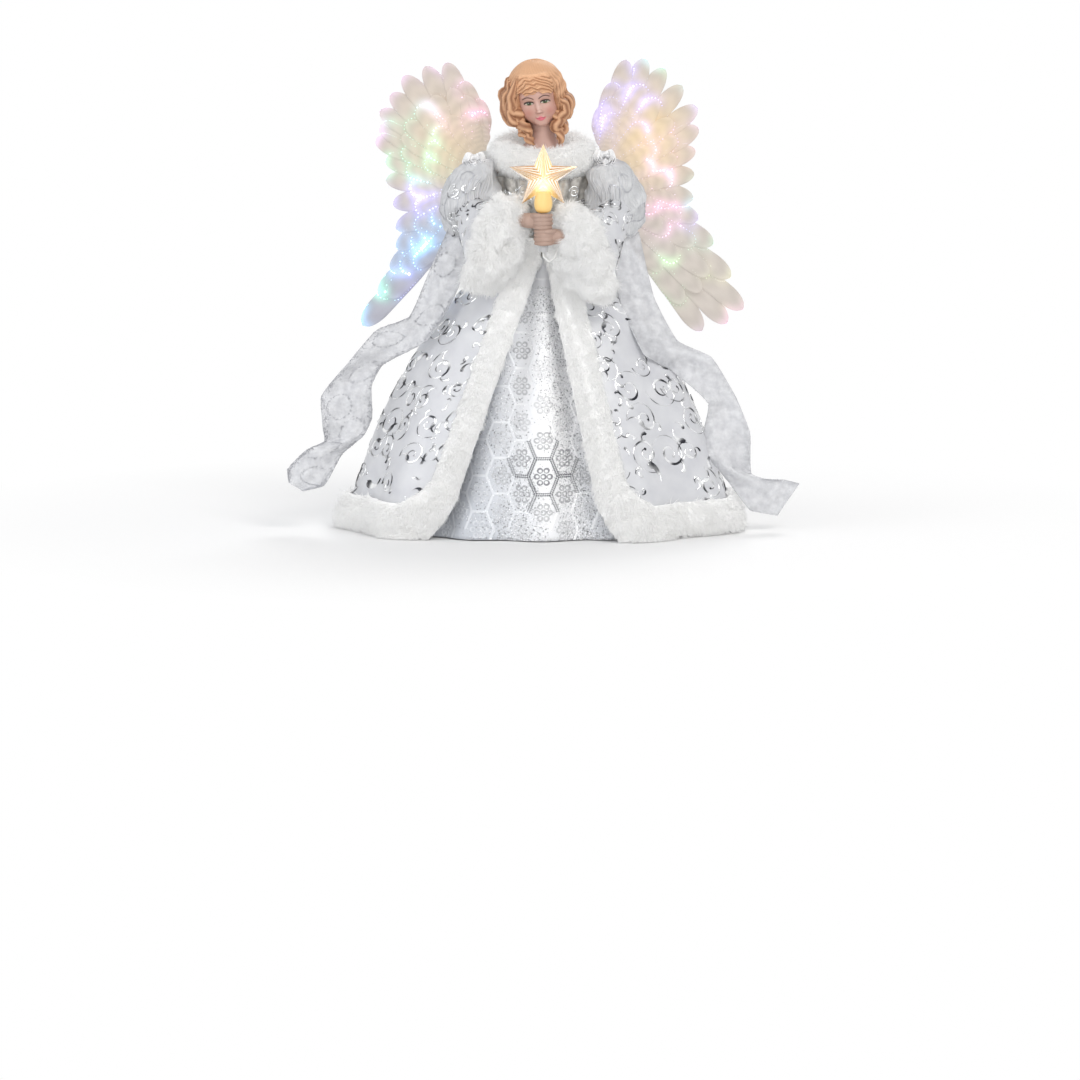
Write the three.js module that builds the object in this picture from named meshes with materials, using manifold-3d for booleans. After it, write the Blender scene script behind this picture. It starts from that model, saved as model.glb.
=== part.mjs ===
// Angel tree topper: a dressed doll on a paper cone, with lit feather wings and a lit star.
// Millimetres, +Z up, the doll faces -Y.

import * as THREE from "three";
import { mergeVertices } from "three/addons/utils/BufferGeometryUtils.js";
import Module from "manifold-3d";

const wasm = await Module();
wasm.setup();

// Fits
const CLEARANCE = 0.3;
const PLUSH_GAP = 0.5;

// Paper cone
const CONE_HEIGHT = 180;
const CONE_FOOT_RADIUS = 70;
const CONE_TOP_RADIUS = 18;
const CONE_WALL = 1.6;

// Lace under-skirt, as how far its hem stands off the cone
const SKIRT_CLOTH = 1;
const SKIRT_FLARE_WIDTH = 41;
const SKIRT_FLARE_DEPTH = 8;
const SKIRT_FLARE_CURVE = 0.6;
const SKIRT_FOLD = 3;
const SKIRT_FOLDS = 14;

// Robe, as how far it stands off the under-skirt
const ROBE_CLOTH = 1.2;
const ROBE_GATHER = 0.7;
const ROBE_EASE = 12;
const ROBE_FULLNESS = 14;
const ROBE_FULLNESS_CURVE = 0.8;
const ROBE_DEPTH_SHARE = 0.75;
const ROBE_FOLD = 4;
const ROBE_FOLDS = 9;
const ROBE_HEM_HEIGHT = 8;
const OPENING_LEFT = 70;
const OPENING_RIGHT = 43;
const OPENING_TOP = 3;

// Plush bands of the robe
const BAND_WIDTH = 22;
const BAND_OVERHANG = 3;
const BAND_FOOT_THICKNESS = 9;
const BAND_TOP_THICKNESS = 4;
const BAND_EDGE_SHARE = 0.25;
const HEM_HEIGHT = 24;
const HEM_THICKNESS = 8;
const PLUSH_FOOT = 0.6;

// Torso, as half width and half depth at heights above the cone
const TORSO_SECTIONS = [
  [0, 19, 17],
  [14, 18.5, 16],
  [33, 26, 20],
  [50, 31, 17],
  [61, 22, 12.5],
];
const TORSO_WALL = 1.6;
const SPIGOT_LENGTH = 12;
const BODICE_CLOTH = 1.2;
const BODICE_TOP = 50;

// Head, neck and shoulder plate
const PLATE_RISE = 7;
const PLUG_LENGTH = 5;
const NECK_RADIUS = 7;
const HEAD_HEIGHT = 104;
const SKULL_HALF = [15, 17, 18.5];
const JAW_HALF = [11.7, 11.6, 12.2];
const JAW_FORWARD = 4.8;
const JAW_DROP = 7.4;
const NOSE_HALF = [2, 2.4, 3.2];
const NOSE_DROP = 3;
const HEAD_ROLL = -6;
const HEAD_NOD = 5;
const NECK_PIVOT = 72;

// Moulded hair, its locks ending this far above the collar's middle
const HAIR_HALF = [24, 23, 20];
const HAIR_LIFT = 2;
const HAIR_BACK = 2.5;
const HAIR_CUT = 14.4;
const FACE_HALF = [12.6, 18.4, 17];
const FACE_DROP = 9;
const LOCK_RADIUS = 5.2;
const LOCK_END = 9;
const REAR_LOCK_END = 17;
const LOCK_TURNS = [52, 101, 150];
const LOCK_SWAY = 1.5;

// Plush collar
const COLLAR_HEIGHT = 64;
const COLLAR_HALF_WIDTH = 25;
const COLLAR_HALF_DEPTH = 20;
const COLLAR_RADIUS = 9.5;
const COLLAR_SLOPE = 0.22;

// Arms, hands and sleeves
const ARM_RADIUS = 3;
const ARM_BORE = 1.7;
// Shoulder to forearm, as out from the middle, back and above the cone
const ARM_ROUTE = [[22, 2, 54], [34, 0, 52], [47, -6, 40], [49, -20, 30]];
const WRIST_OUT = 14;
const WRIST_BEHIND = 4;
const UPPER_HAND_HEIGHT = 26.3;
const LOWER_HAND_HEIGHT = 13.6;
const FINGER_RADIUS = 1.55;
const FINGER_PITCH = 3;
const PALM_HALF = [5.5, 5.5, 6.2];
const PALM_OUT = 6.5;
const HAND_LENGTH = 17;
const WRIST_RADIUS = 4.6;
const SLEEVE_SHOULDER_RADIUS = 9;
const SLEEVE_ELBOW_RADIUS = 15;
const SLEEVE_TALL = 1.2;
const SLEEVE_DROP = 6;
const SLEEVE_SPAN = [0.2, 0.62];
const PUFF_FULLNESS = 4.5;
const PUFF_GATHERS = 7;
const PUFF_PUCKER = 0.8;
const CUFF_SHARE = 0.86;
const CUFF_OUT = 30;
const CUFF_FORWARD = 51;
const LEFT_CUFF_HEIGHT = 11;
const RIGHT_CUFF_HEIGHT = 6;
const CUFF_HALF_WIDTH = 14.5;
const CUFF_HALF_HEIGHT = 22.5;
const CUFF_RADIUS = 8.5;

// Torch and star
const TORCH_FORWARD = 62;
const STEM_RADIUS = 3.5;
const STEM_BORE = 1.4;
const STEM_FOOT = 6.5;
const STEM_TOP = 31.5;
const CUP_RADIUS = 5.8;
const CUP_FOOT_RADIUS = 4.3;
const CUP_HEIGHT = 12.6;
const LAMP_RADIUS = 2.5;
const LAMP_HEIGHT = 23;
const STAR_HALF_WIDTH = 22.2;
const STAR_HEIGHT = 38.8;
const STAR_WAIST = 0.48;
const STAR_HALF_DEPTH = 7;
const STAR_SOCKET_WALL = 1.5;

// Light engine in the torso
const HOUSING_HALF_WIDTH = 11;
const HOUSING_FRONT = -8;
const HOUSING_REAR = 6;
const HOUSING_FOOT = 21;
const HOUSING_TOP = 43;
const HOUSING_WALL = 1.4;
const LID_THICKNESS = 1.6;
const LID_HALF_WIDTH = 17;
const FERRULE_OUT = 5.5;
const FERRULE_HEIGHT = 34;
const FERRULE_LENGTH = 4;
const FERRULE_WALL = 0.8;
const FIBRE_RADIUS = 1.9;
const LID_SCREW_OUT = 14;
const LID_SCREW_HEIGHT = 32;
const LID_SCREW_LENGTH = 6;
const SCREW_RADIUS = 1;
const SCREW_HEAD_RADIUS = 2.2;
const SCREW_HEAD_HEIGHT = 1.3;
const BOSS_RADIUS = 2.8;
const BOARD_THICKNESS = 1.2;
const LED_RADIUS = 1.8;
const LED_LENGTH = 3;

// Wings and the bracket that carries them
const BRACKET_HALF_WIDTH = 36;
const BRACKET_THICKNESS = 2.5;
const BRACKET_FOOT = 26;
const BRACKET_TOP = 42;
const BRACKET_SCREW_HEIGHTS = [30, 38.5];
const BRACKET_SCREW_LENGTH = 9;
const SOCKET_OUT = 33;
const SOCKET_BEHIND = 4.6;
const POST_RADIUS = 1.6;
const SOCKET_WALL = 1.7;
const SPINE_HEIGHT = 20;
const SPINE_HALF_WIDTH = 4.5;
const SPINE_DEPTH = 3.9;
const WING_SWEEP = 8;
const FEATHER_THICKNESS = 1;
const FAN_THICKNESS = 0.8;
const LONG_FEATHERS = 16;
const LONG_FEATHER_WIDTH = 19;
const COVERT_FEATHERS = 11;
const COVERT_FEATHER_WIDTH = 17;
const COVERT_REACH = 0.62;
const FAN_REACH = 0.5;
// Where the feathers start and end, outwards from the post and up from the cone
const WING_ROOT = [[7, 62], [15, 24]];
const WING_TIPS = [[9, 95], [30, 119], [60, 105], [75, 78], [69, 31], [79, -15], [93, -43], [74, -58]];

// Organza sash tails: middle of the ribbon and the half width from there to one edge
const SASH_CLOTH = 0.8;
const SASH_LEFT = [
  [[-52, -15, 11], [8, -3, 2]],
  [[-61, -21, -18], [12, -5, 1]],
  [[-75, -25, -45], [14, -5, -3]],
  [[-97, -24, -63], [10, -3, -12]],
  [[-122, -19, -88], [13, -3, -9]],
  [[-126, -27, -116], [15, -4, -2]],
  [[-135, -20, -135], [11, -3, -10]],
  [[-150, -25, -143], [7, -2, -12]],
  [[-162.4, -22, -149], [4, 0, -9]],
];
const SASH_RIGHT = [
  [[52, -15, 11], [8, 3, -2]],
  [[63, -20, -22], [12, 5, 1]],
  [[80, -26, -52], [10, 5, 8]],
  [[101, -20, -70], [8, 3, 12]],
  [[117, -25, -93], [14, 2, 6]],
  [[124, -19, -122], [14, 3, 3]],
  [[132, -26, -143], [11, 2, 8]],
  [[148, -20, -157], [1, 1, 14]],
  [[167, -23, -157], [-1, 0, 11]],
];

// Battery case, measured along and square to the cone's back wall
const CASE_HEIGHT_ON_CONE = 36;
const CASE_DEPTH = 14;
const CASE_WALL = 1.4;
const CASE_STAND_OFF = 6.2;
const COVER_THICKNESS = 1.6;
const COVER_LIP = 1;
const CELL_RADIUS = 5.25;
const CELL_LENGTH = 44.5;
const CONTACT_ROOM = 3.35;
const CELL_ROOM = 1.35;
const CELL_PITCH = 13.5;
const CELLS = 3;
const CASE_LENGTH = CELL_LENGTH + 2 * (CONTACT_ROOM + CASE_WALL);
const CASE_WIDTH = CELLS * CELL_PITCH + 2 * (CELL_ROOM + CASE_WALL);
const CONTACT_THICKNESS = 0.5;
const CONTACT_HALF_HEIGHT = 4;
const STUD_RADIUS = 2;
const PAD_WIDTH = 24;
const PAD_LENGTH = 40;
const PAD_THICKNESS = 4.1;
const SWITCH_WIDTH = 5;
const SWITCH_DEPTH = 3.4;
const SWITCH_RISE = 2;
const SWITCH_TRAVEL = 3;
const SWITCH_FLANGE = 1;
const SLIDER_THICKNESS = 0.8;

// Leads
const LEAD_RADIUS = 1.1;
const STAR_LEAD_RADIUS = 0.8;
const LEAD_ENTRY_BACK = 2;
const LEAD_OUT = 9;
const LEAD_OFF_WALL = 18;
const LEAD_BEND = 8;
const LEAD_BEND_OFF_WALL = 12;
const LEAD_ON_WALL = [90, 120, 145];

// How far a cutting tool runs past the face it cuts, and past the whole figure
const PAST = 1;
const FAR = 100;

// Facets
const TUBE_SIDES = 6;
const FINGER_SIDES = 5;
const ROUND_SIDES = 8;
const BODY_SIDES = 14;

const radians = THREE.MathUtils.degToRad;
const { lerp } = THREE.MathUtils;
const vector = (x, y, z) => new THREE.Vector3(x, y, z);

// Finishes
function finish(colour, roughness, metalness = 0) {
  return new THREE.MeshStandardMaterial({ color: colour, roughness, metalness });
}

const PAPER = finish("#d8d2c6", 0.9);
const LACE = finish("#d1d2d6", 0.6);
const SATIN = finish("#d6d7da", 0.5);
const PLUSH = finish("#e6e5e4", 1);
const ORGANZA = finish("#d6d7d9", 0.4);
const SKIN = finish("#b8968a", 0.7);
const HAIR = finish("#cf9c76", 0.7);
const FEATHER = finish("#efe8da", 0.8);
const WHITE_PLASTIC = finish("#e8e8e6", 0.5);
const CREAM_PLASTIC = finish("#fadf97", 0.4);
const CLEAR_PLASTIC = finish("#fff3cf", 0.05);
const LAMP_GLASS = finish("#fff6d8", 0.1);
const BOARD = finish("#2f6b45", 0.6);
const STEEL = finish("#b9bcc0", 0.3, 1);
const LEAD = finish("#e4e2dc", 0.6);
const FIBRE = finish("#f2f4f6", 0.2);
const FOAM = finish("#9a9a96", 1);
const CELL = finish("#3d5f8c", 0.4, 0.3);

const topper = new THREE.Group();
const figure = new THREE.Group();
const upper = new THREE.Group();
upper.position.z = CONE_HEIGHT;
figure.add(upper);
topper.add(figure);

// Adds one piece to a group
function piece(group, name, geometry, material) {
  geometry.computeVertexNormals();
  const mesh = new THREE.Mesh(geometry, material);
  mesh.name = name;
  group.add(mesh);
}

// Turns a geometry into a solid that can be joined and cut
function solidOf(geometry) {
  const bare = geometry.clone();
  bare.deleteAttribute("normal");
  bare.deleteAttribute("uv");
  const merged = mergeVertices(bare);
  const mesh = new wasm.Mesh({
    numProp: 3,
    vertProperties: new Float32Array(merged.attributes.position.array),
    triVerts: new Uint32Array(merged.index.array),
  });
  return new wasm.Manifold(mesh);
}

function geometryOf(solid) {
  const mesh = solid.getMesh();
  const geometry = new THREE.BufferGeometry();
  geometry.setAttribute("position", new THREE.BufferAttribute(new Float32Array(mesh.vertProperties), 3));
  geometry.setIndex(new THREE.BufferAttribute(new Uint32Array(mesh.triVerts), 1));
  return geometry;
}

function joined(...solids) {
  return solids.reduce((whole, next) => whole.add(next));
}

function cut(solid, ...tools) {
  return tools.reduce((rest, tool) => rest.subtract(tool), solid);
}

// Closed surface through rings of the same even number of points. An end cap joins each point of
// its ring to the one across from it. The faces are turned to point outwards.
function loft(rings, closed = false) {
  const count = rings[0].length;
  const corners = rings.flat();
  const faces = [];
  const quad = (a, b, c, d) => faces.push(a, b, c, a, c, d);
  const spans = closed ? rings.length : rings.length - 1;
  for (let i = 0; i < spans; i++) {
    const here = i * count;
    const next = ((i + 1) % rings.length) * count;
    for (let j = 0; j < count; j++) {
      const k = (j + 1) % count;
      quad(here + j, here + k, next + k, next + j);
    }
  }
  if (!closed) {
    const end = corners.length - count;
    for (let j = 0; j < count / 2 - 1; j++) {
      const across = count - 1 - j;
      quad(across, across - 1, j + 1, j);
      quad(end + j, end + j + 1, end + across - 1, end + across);
    }
  }
  let volume = 0;
  for (let i = 0; i < faces.length; i += 3) {
    const [a, b, c] = [corners[faces[i]], corners[faces[i + 1]], corners[faces[i + 2]]];
    volume += a.dot(b.clone().cross(c));
  }
  if (volume < 0) faces.reverse();
  const geometry = new THREE.BufferGeometry().setFromPoints(corners);
  geometry.setIndex(faces);
  return geometry;
}

function ring(middle, across, along, halfAcross, halfAlong, sides) {
  return Array.from({ length: sides }, (_, i) => {
    const turn = (2 * Math.PI * (i + 0.5)) / sides;
    return middle.clone()
      .addScaledVector(across, halfAcross * Math.cos(turn))
      .addScaledVector(along, halfAlong * Math.sin(turn));
  });
}

// Level oval ring
function levelRing(height, halfWidth, halfDepth, sides = BODY_SIDES) {
  return ring(vector(0, 0, height), vector(1, 0, 0), vector(0, 1, 0), halfWidth, halfDepth, sides);
}

function polygon(radius, sides) {
  const turns = Array.from({ length: sides }, (_, i) => (2 * Math.PI * (i + 0.5)) / sides);
  return turns.map((turn) => new THREE.Vector2(radius * Math.cos(turn), radius * Math.sin(turn)));
}

// Round rod or tube along a curve
function tube(curve, radius, steps, bore = 0, sides = TUBE_SIDES) {
  const section = new THREE.Shape(polygon(radius, sides));
  if (bore > 0) section.holes.push(new THREE.Path(polygon(bore, sides)));
  return new THREE.ExtrudeGeometry(section, { steps, bevelEnabled: false, extrudePath: curve });
}

function smooth(points) {
  return new THREE.CatmullRomCurve3(points.map((point) => vector(...point)), false, "centripetal");
}

// Straight rod along Z or Y, from one place to another
function rodUp(x, y, from, to, radius, sides = ROUND_SIDES) {
  const geometry = new THREE.CylinderGeometry(radius, radius, to - from, sides);
  return geometry.rotateX(Math.PI / 2).translate(x, y, (from + to) / 2);
}

function rodBack(x, z, from, to, radius, sides = ROUND_SIDES) {
  return new THREE.CylinderGeometry(radius, radius, to - from, sides).translate(x, (from + to) / 2, z);
}

function block(x, y, z) {
  const geometry = new THREE.BoxGeometry(x[1] - x[0], y[1] - y[0], z[1] - z[0]);
  return geometry.translate((x[0] + x[1]) / 2, (y[0] + y[1]) / 2, (z[0] + z[1]) / 2);
}

function ellipsoid(middle, half, columns = 10, rows = 6) {
  return new THREE.SphereGeometry(1, columns, rows).scale(...half).translate(...middle);
}

// Cone
const coneRadius = (z) => lerp(CONE_FOOT_RADIUS, CONE_TOP_RADIUS, z / CONE_HEIGHT);
const wallTilt = Math.atan2(CONE_FOOT_RADIUS - CONE_TOP_RADIUS, CONE_HEIGHT);

function coneFormer() {
  const profile = [
    [CONE_FOOT_RADIUS - CONE_WALL, 0],
    [CONE_FOOT_RADIUS, 0],
    [CONE_TOP_RADIUS, CONE_HEIGHT],
    [CONE_TOP_RADIUS - CONE_WALL, CONE_HEIGHT],
    [CONE_FOOT_RADIUS - CONE_WALL, 0],
  ];
  const points = profile.map(([radius, z]) => new THREE.Vector2(radius, z));
  return new THREE.LatheGeometry(points, 36).rotateX(Math.PI / 2);
}

// Skirts. Angles run from the front, growing towards +X. The share is 0 at the waist and 1 at the floor.
const skirtShare = (z) => 1 - z / CONE_HEIGHT;
const flare = (z) => skirtShare(z) ** SKIRT_FLARE_CURVE;

function ovalPoint(angle, halfWidth, halfDepth, z) {
  return vector(halfWidth * Math.sin(angle), -halfDepth * Math.cos(angle), z);
}

function skirtHalf(z) {
  const snug = coneRadius(z) + CLEARANCE + SKIRT_CLOTH;
  return [snug + SKIRT_FLARE_WIDTH * flare(z), snug + SKIRT_FLARE_DEPTH * flare(z)];
}

function skirtPoint(angle, z, inset) {
  const [width, depth] = skirtHalf(z);
  const swell = SKIRT_FOLD * flare(z) * Math.cos(SKIRT_FOLDS * angle) - inset;
  return ovalPoint(angle, width + swell, depth + swell, z);
}

function robeHalf(z) {
  const share = skirtShare(z);
  const fullness = Math.sin(Math.PI * share ** ROBE_FULLNESS_CURVE);
  const ease = ROBE_EASE * share + ROBE_FULLNESS * fullness;
  const snug = CLEARANCE + ROBE_CLOTH + ROBE_GATHER;
  const [width, depth] = skirtHalf(z);
  return [width + snug + ease, depth + snug + ease * ROBE_DEPTH_SHARE];
}

// Point of the robe's outer face, or off it along the level normal
function robePoint(angle, z, offset) {
  const [width, depth] = robeHalf(z);
  const swell = ROBE_FOLD * skirtShare(z) * Math.cos(ROBE_FOLDS * angle + Math.PI / 2);
  const normal = vector(Math.sin(angle) / width, -Math.cos(angle) / depth, 0).normalize();
  return ovalPoint(angle, width + swell, depth + swell, z).addScaledVector(normal, offset);
}

// Angle of the robe's front edge, -1 for the left and 1 for the right, so that the edge looks straight
function edgeAngle(side, z, inward = 0) {
  const atFloor = side < 0 ? OPENING_LEFT : OPENING_RIGHT;
  const [width, depth] = robeHalf(z);
  const angle = Math.asin(lerp(atFloor, OPENING_TOP, z / CONE_HEIGHT) / width);
  const arc = Math.hypot(width * Math.cos(angle), depth * Math.sin(angle));
  return side * (angle + inward / arc);
}

// Angle at a share of the way round the back, from the right edge to the left one
function wrapAngle(share, z, inward) {
  return lerp(edgeAngle(1, z, inward), 2 * Math.PI + edgeAngle(-1, z, inward), share);
}

function spread(from, to, count) {
  return Array.from({ length: count }, (_, i) => lerp(from, to, i / (count - 1)));
}

function underSkirt() {
  const heights = spread(0, CONE_HEIGHT, 7);
  const angles = spread(0, 2 * Math.PI, SKIRT_FOLDS * 3 + 1).slice(0, -1);
  const rings = angles.map((angle) => [
    ...heights.map((z) => skirtPoint(angle, z, 0)),
    ...heights.toReversed().map((z) => skirtPoint(angle, z, SKIRT_CLOTH)),
  ]);
  return loft(rings, true);
}

// Distances in from a front edge where the cloth and the plush share their facets
const bandInner = BAND_WIDTH - BAND_OVERHANG;
const bandStops = [-BAND_OVERHANG, 0, bandInner / 2, bandInner];
const hemStart = bandInner + PLUSH_GAP;
const hemShares = spread(0, 1, ROBE_FOLDS * 4);

function robe() {
  const heights = spread(ROBE_HEM_HEIGHT, CONE_HEIGHT, 8);
  const stops = [
    [0, 0],
    [0, bandInner / 2],
    ...hemShares.map((share) => [share, hemStart]),
    [1, bandInner / 2],
    [1, 0],
  ];
  const rings = stops.map(([share, inward]) => [
    ...heights.map((z) => robePoint(wrapAngle(share, z, inward), z, 0)),
    ...heights.toReversed().map((z) => robePoint(wrapAngle(share, z, inward), z, -ROBE_CLOTH)),
  ]);
  return loft(rings);
}

// Cross-section of a plush band over the places of its facets: flat on the cloth and crowned outside
function bandSection(places, at, thickness) {
  const crown = places.map((_, i) => {
    const swell = Math.sin((Math.PI * i) / (places.length - 1));
    return PLUSH_GAP + thickness * lerp(BAND_EDGE_SHARE, 1, swell);
  });
  return [
    ...places.map((place, i) => at(place, crown[i])),
    ...places.toReversed().map((place) => at(place, PLUSH_GAP)),
  ];
}

function frontBand(side) {
  const rings = spread(PLUSH_FOOT, CONE_HEIGHT - PLUSH_FOOT, 14).map((z) => {
    const thickness = lerp(BAND_FOOT_THICKNESS, BAND_TOP_THICKNESS, z / CONE_HEIGHT);
    const at = (inward, offset) => robePoint(edgeAngle(side, z, inward), z, offset);
    return bandSection(bandStops, at, thickness);
  });
  return loft(rings);
}

function hemBand() {
  const heights = spread(PLUSH_FOOT, PLUSH_FOOT + HEM_HEIGHT, 4);
  const rings = hemShares.map((share) => {
    const at = (z, offset) => robePoint(wrapAngle(share, z, hemStart), z, offset);
    return bandSection(heights, at, HEM_THICKNESS);
  });
  return loft(rings);
}

piece(figure, "cone_former", coneFormer(), PAPER);
piece(figure, "under_skirt", underSkirt(), LACE);
piece(figure, "robe", robe(), SATIN);
piece(figure, "front_band_left", frontBand(-1), PLUSH);
piece(figure, "front_band_right", frontBand(1), PLUSH);
piece(figure, "hem_band", hemBand(), PLUSH);

// Arms. The left one holds the torch above the right one.
const handHeight = (side) => (side < 0 ? UPPER_HAND_HEIGHT : LOWER_HAND_HEIGHT);
const cuffHeight = (side) => (side < 0 ? LEFT_CUFF_HEIGHT : RIGHT_CUFF_HEIGHT);

function armCurve(side) {
  const wrist = handHeight(side);
  const points = [
    ...ARM_ROUTE,
    [CUFF_OUT + 7, 8 - CUFF_FORWARD, wrist + 3],
    [WRIST_OUT, WRIST_BEHIND - TORCH_FORWARD, wrist],
  ];
  return smooth(points.map(([x, y, z]) => [side * x, y, z]));
}

const armSolid = (side, radius, bore) => tube(armCurve(side), radius, 14, bore);
const armRoom = (side) => solidOf(armSolid(side, ARM_RADIUS + CLEARANCE, 0));

// Sleeve, fuller below the arm, ending in the plane behind the cuff. Each section is grown by an amount.
function cuffFrame(side) {
  const curve = armCurve(side);
  const forward = curve.getTangent(CUFF_SHARE).setZ(0).normalize();
  const middle = vector(side * CUFF_OUT, -CUFF_FORWARD, cuffHeight(side));
  return { middle, forward, across: vector(forward.y, -forward.x, 0) };
}

function sleeveRings(side, grow, pucker = 0) {
  const curve = armCurve(side);
  const up = vector(0, 0, 1);
  const shares = spread(0, 1, 5);
  const rings = shares.map((share) => {
    const place = lerp(...SLEEVE_SPAN, share);
    const tangent = curve.getTangent(place);
    const across = tangent.clone().cross(up).normalize();
    const along = across.clone().cross(tangent).normalize();
    const radius = lerp(SLEEVE_SHOULDER_RADIUS, SLEEVE_ELBOW_RADIUS, Math.sqrt(share)) + grow;
    const middle = curve.getPoint(place).addScaledVector(up, -SLEEVE_DROP * share);
    const tall = radius * lerp(1, SLEEVE_TALL, share);
    const points = ring(middle, across, along, radius, tall, BODY_SIDES);
    return points.map((point, i) => {
      const wave = pucker * Math.cos((2 * Math.PI * PUFF_GATHERS * i) / BODY_SIDES);
      return point.lerp(middle, -wave / radius);
    });
  });
  return rings;
}

function sleeveSolid(side, grow) {
  const { middle, forward, across } = cuffFrame(side);
  const end = middle.clone().addScaledVector(forward, -CUFF_RADIUS - CLEARANCE + grow);
  const half = [CUFF_HALF_WIDTH + grow, CUFF_HALF_HEIGHT + grow];
  const mouth = ring(end, across, vector(0, 0, 1), ...half, BODY_SIDES);
  const rings = sleeveRings(side, grow);
  const back = armCurve(side).getTangent(SLEEVE_SPAN[0]).multiplyScalar(-grow);
  rings[0].forEach((point) => point.add(back));
  return solidOf(loft([...rings, mouth]));
}

function puffSolid(side, grow) {
  const rings = sleeveRings(side, PUFF_FULLNESS + grow, grow > 0 ? 0 : PUFF_PUCKER);
  return solidOf(loft(rings));
}

function cuffSolid(side) {
  const { middle, forward, across } = cuffFrame(side);
  const up = vector(0, 0, 1);
  const rings = spread(0, 2 * Math.PI, 21).slice(0, -1).map((turn) => {
    const outwards = across.clone().multiplyScalar(Math.cos(turn)).addScaledVector(up, Math.sin(turn));
    const at = middle.clone()
      .addScaledVector(across, CUFF_HALF_WIDTH * Math.cos(turn))
      .addScaledVector(up, CUFF_HALF_HEIGHT * Math.sin(turn));
    return ring(at, outwards, forward, CUFF_RADIUS, CUFF_RADIUS, 8);
  });
  return solidOf(loft(rings, true));
}

// Fist round the torch: a palm, a wrist and four fingers
function handSolid(side) {
  const height = handHeight(side);
  const wrap = STEM_RADIUS + CLEARANCE + FINGER_RADIUS;
  const palm = ellipsoid([side * PALM_OUT, 1 - TORCH_FORWARD, height], PALM_HALF, 8, 6);
  const wrist = tube(smooth([
    [side * PALM_OUT, 2 - TORCH_FORWARD, height],
    [side * (PALM_OUT + HAND_LENGTH) / 2, WRIST_BEHIND - 0.5 - TORCH_FORWARD, height],
    [side * HAND_LENGTH, WRIST_BEHIND + 2 - TORCH_FORWARD, height + 0.6],
  ]), WRIST_RADIUS, 3);
  const fingers = spread(-1.5, 1.5, 4).map((row) => {
    const z = height + row * FINGER_PITCH;
    const points = spread(-10, 190, 7).map((degrees) => {
      const turn = radians(degrees);
      return [side * wrap * Math.cos(turn), -TORCH_FORWARD - wrap * Math.sin(turn), z];
    });
    return solidOf(tube(smooth(points), FINGER_RADIUS, 6, 0, FINGER_SIDES));
  });
  const grip = solidOf(rodUp(0, -TORCH_FORWARD, -FAR, FAR, STEM_RADIUS + CLEARANCE));
  return cut(joined(solidOf(palm), solidOf(wrist), ...fingers), grip, armRoom(side), leadRoom);
}

// Torso
function sections(grow, from, to) {
  return TORSO_SECTIONS.map(([height, width, depth]) => {
    return levelRing(lerp(from, to, height / TORSO_SECTIONS.at(-1)[0]), width + grow, depth + grow);
  });
}

const torsoTop = TORSO_SECTIONS.at(-1)[0];
const spigotRadius = CONE_TOP_RADIUS - CONE_WALL - CLEARANCE;

function torsoRoom(grow) {
  return solidOf(loft(sections(grow - TORSO_WALL, CLEARANCE + TORSO_WALL, torsoTop)));
}

function torsoShell() {
  const mouth = TORSO_SECTIONS.at(-1).slice(1).map((half) => half - TORSO_WALL);
  const bore = spigotRadius - TORSO_WALL;
  const body = joined(
    solidOf(loft(sections(0, CLEARANCE, torsoTop))),
    solidOf(rodUp(0, 0, -SPIGOT_LENGTH, CLEARANCE + TORSO_WALL, spigotRadius, BODY_SIDES)),
  );
  const room = joined(
    torsoRoom(0),
    solidOf(loft([
      levelRing(torsoTop - TORSO_WALL, ...mouth),
      levelRing(torsoTop + PAST, ...mouth),
    ])),
    solidOf(rodUp(0, 0, -SPIGOT_LENGTH - PAST, CLEARANCE + 2 * TORSO_WALL, bore, BODY_SIDES)),
  );
  return cut(body, room, armRoom(-1), armRoom(1));
}

const lidRear = HOUSING_REAR + CLEARANCE + LID_THICKNESS;
const bodiceRear = TORSO_SECTIONS[2][2] + CLEARANCE + BODICE_CLOTH;
const bracketFront = bodiceRear + CLEARANCE;
const bracketRear = bracketFront + BRACKET_THICKNESS;

function fibreCurve(side) {
  return smooth([
    [FERRULE_OUT, HOUSING_REAR - 5, FERRULE_HEIGHT],
    [FERRULE_OUT, HOUSING_REAR, FERRULE_HEIGHT],
    [FERRULE_OUT, lidRear, FERRULE_HEIGHT],
    [FERRULE_OUT, lidRear + FERRULE_LENGTH, FERRULE_HEIGHT],
    [FERRULE_OUT + 2, 17, FERRULE_HEIGHT + 6],
    [FERRULE_OUT + 6, bodiceRear, BRACKET_TOP + 4],
    [18, bracketRear + 1.5, BRACKET_TOP + 6],
    [SOCKET_OUT - 7, bracketRear + SOCKET_BEHIND, BRACKET_TOP + 5],
  ].map(([x, y, z]) => [side * x, y, z]));
}

const fibreSolid = (side, grow) => solidOf(tube(fibreCurve(side), FIBRE_RADIUS + grow, 14));
const fibreRoom = () => joined(fibreSolid(-1, CLEARANCE), fibreSolid(1, CLEARANCE));

function bracketScrewRoom() {
  const rods = BRACKET_SCREW_HEIGHTS.map((z) => {
    const tip = bracketRear - BRACKET_SCREW_LENGTH - PAST;
    return solidOf(rodBack(0, z, tip, bracketRear + PAST, SCREW_RADIUS + CLEARANCE));
  });
  return joined(...rods);
}

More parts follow.
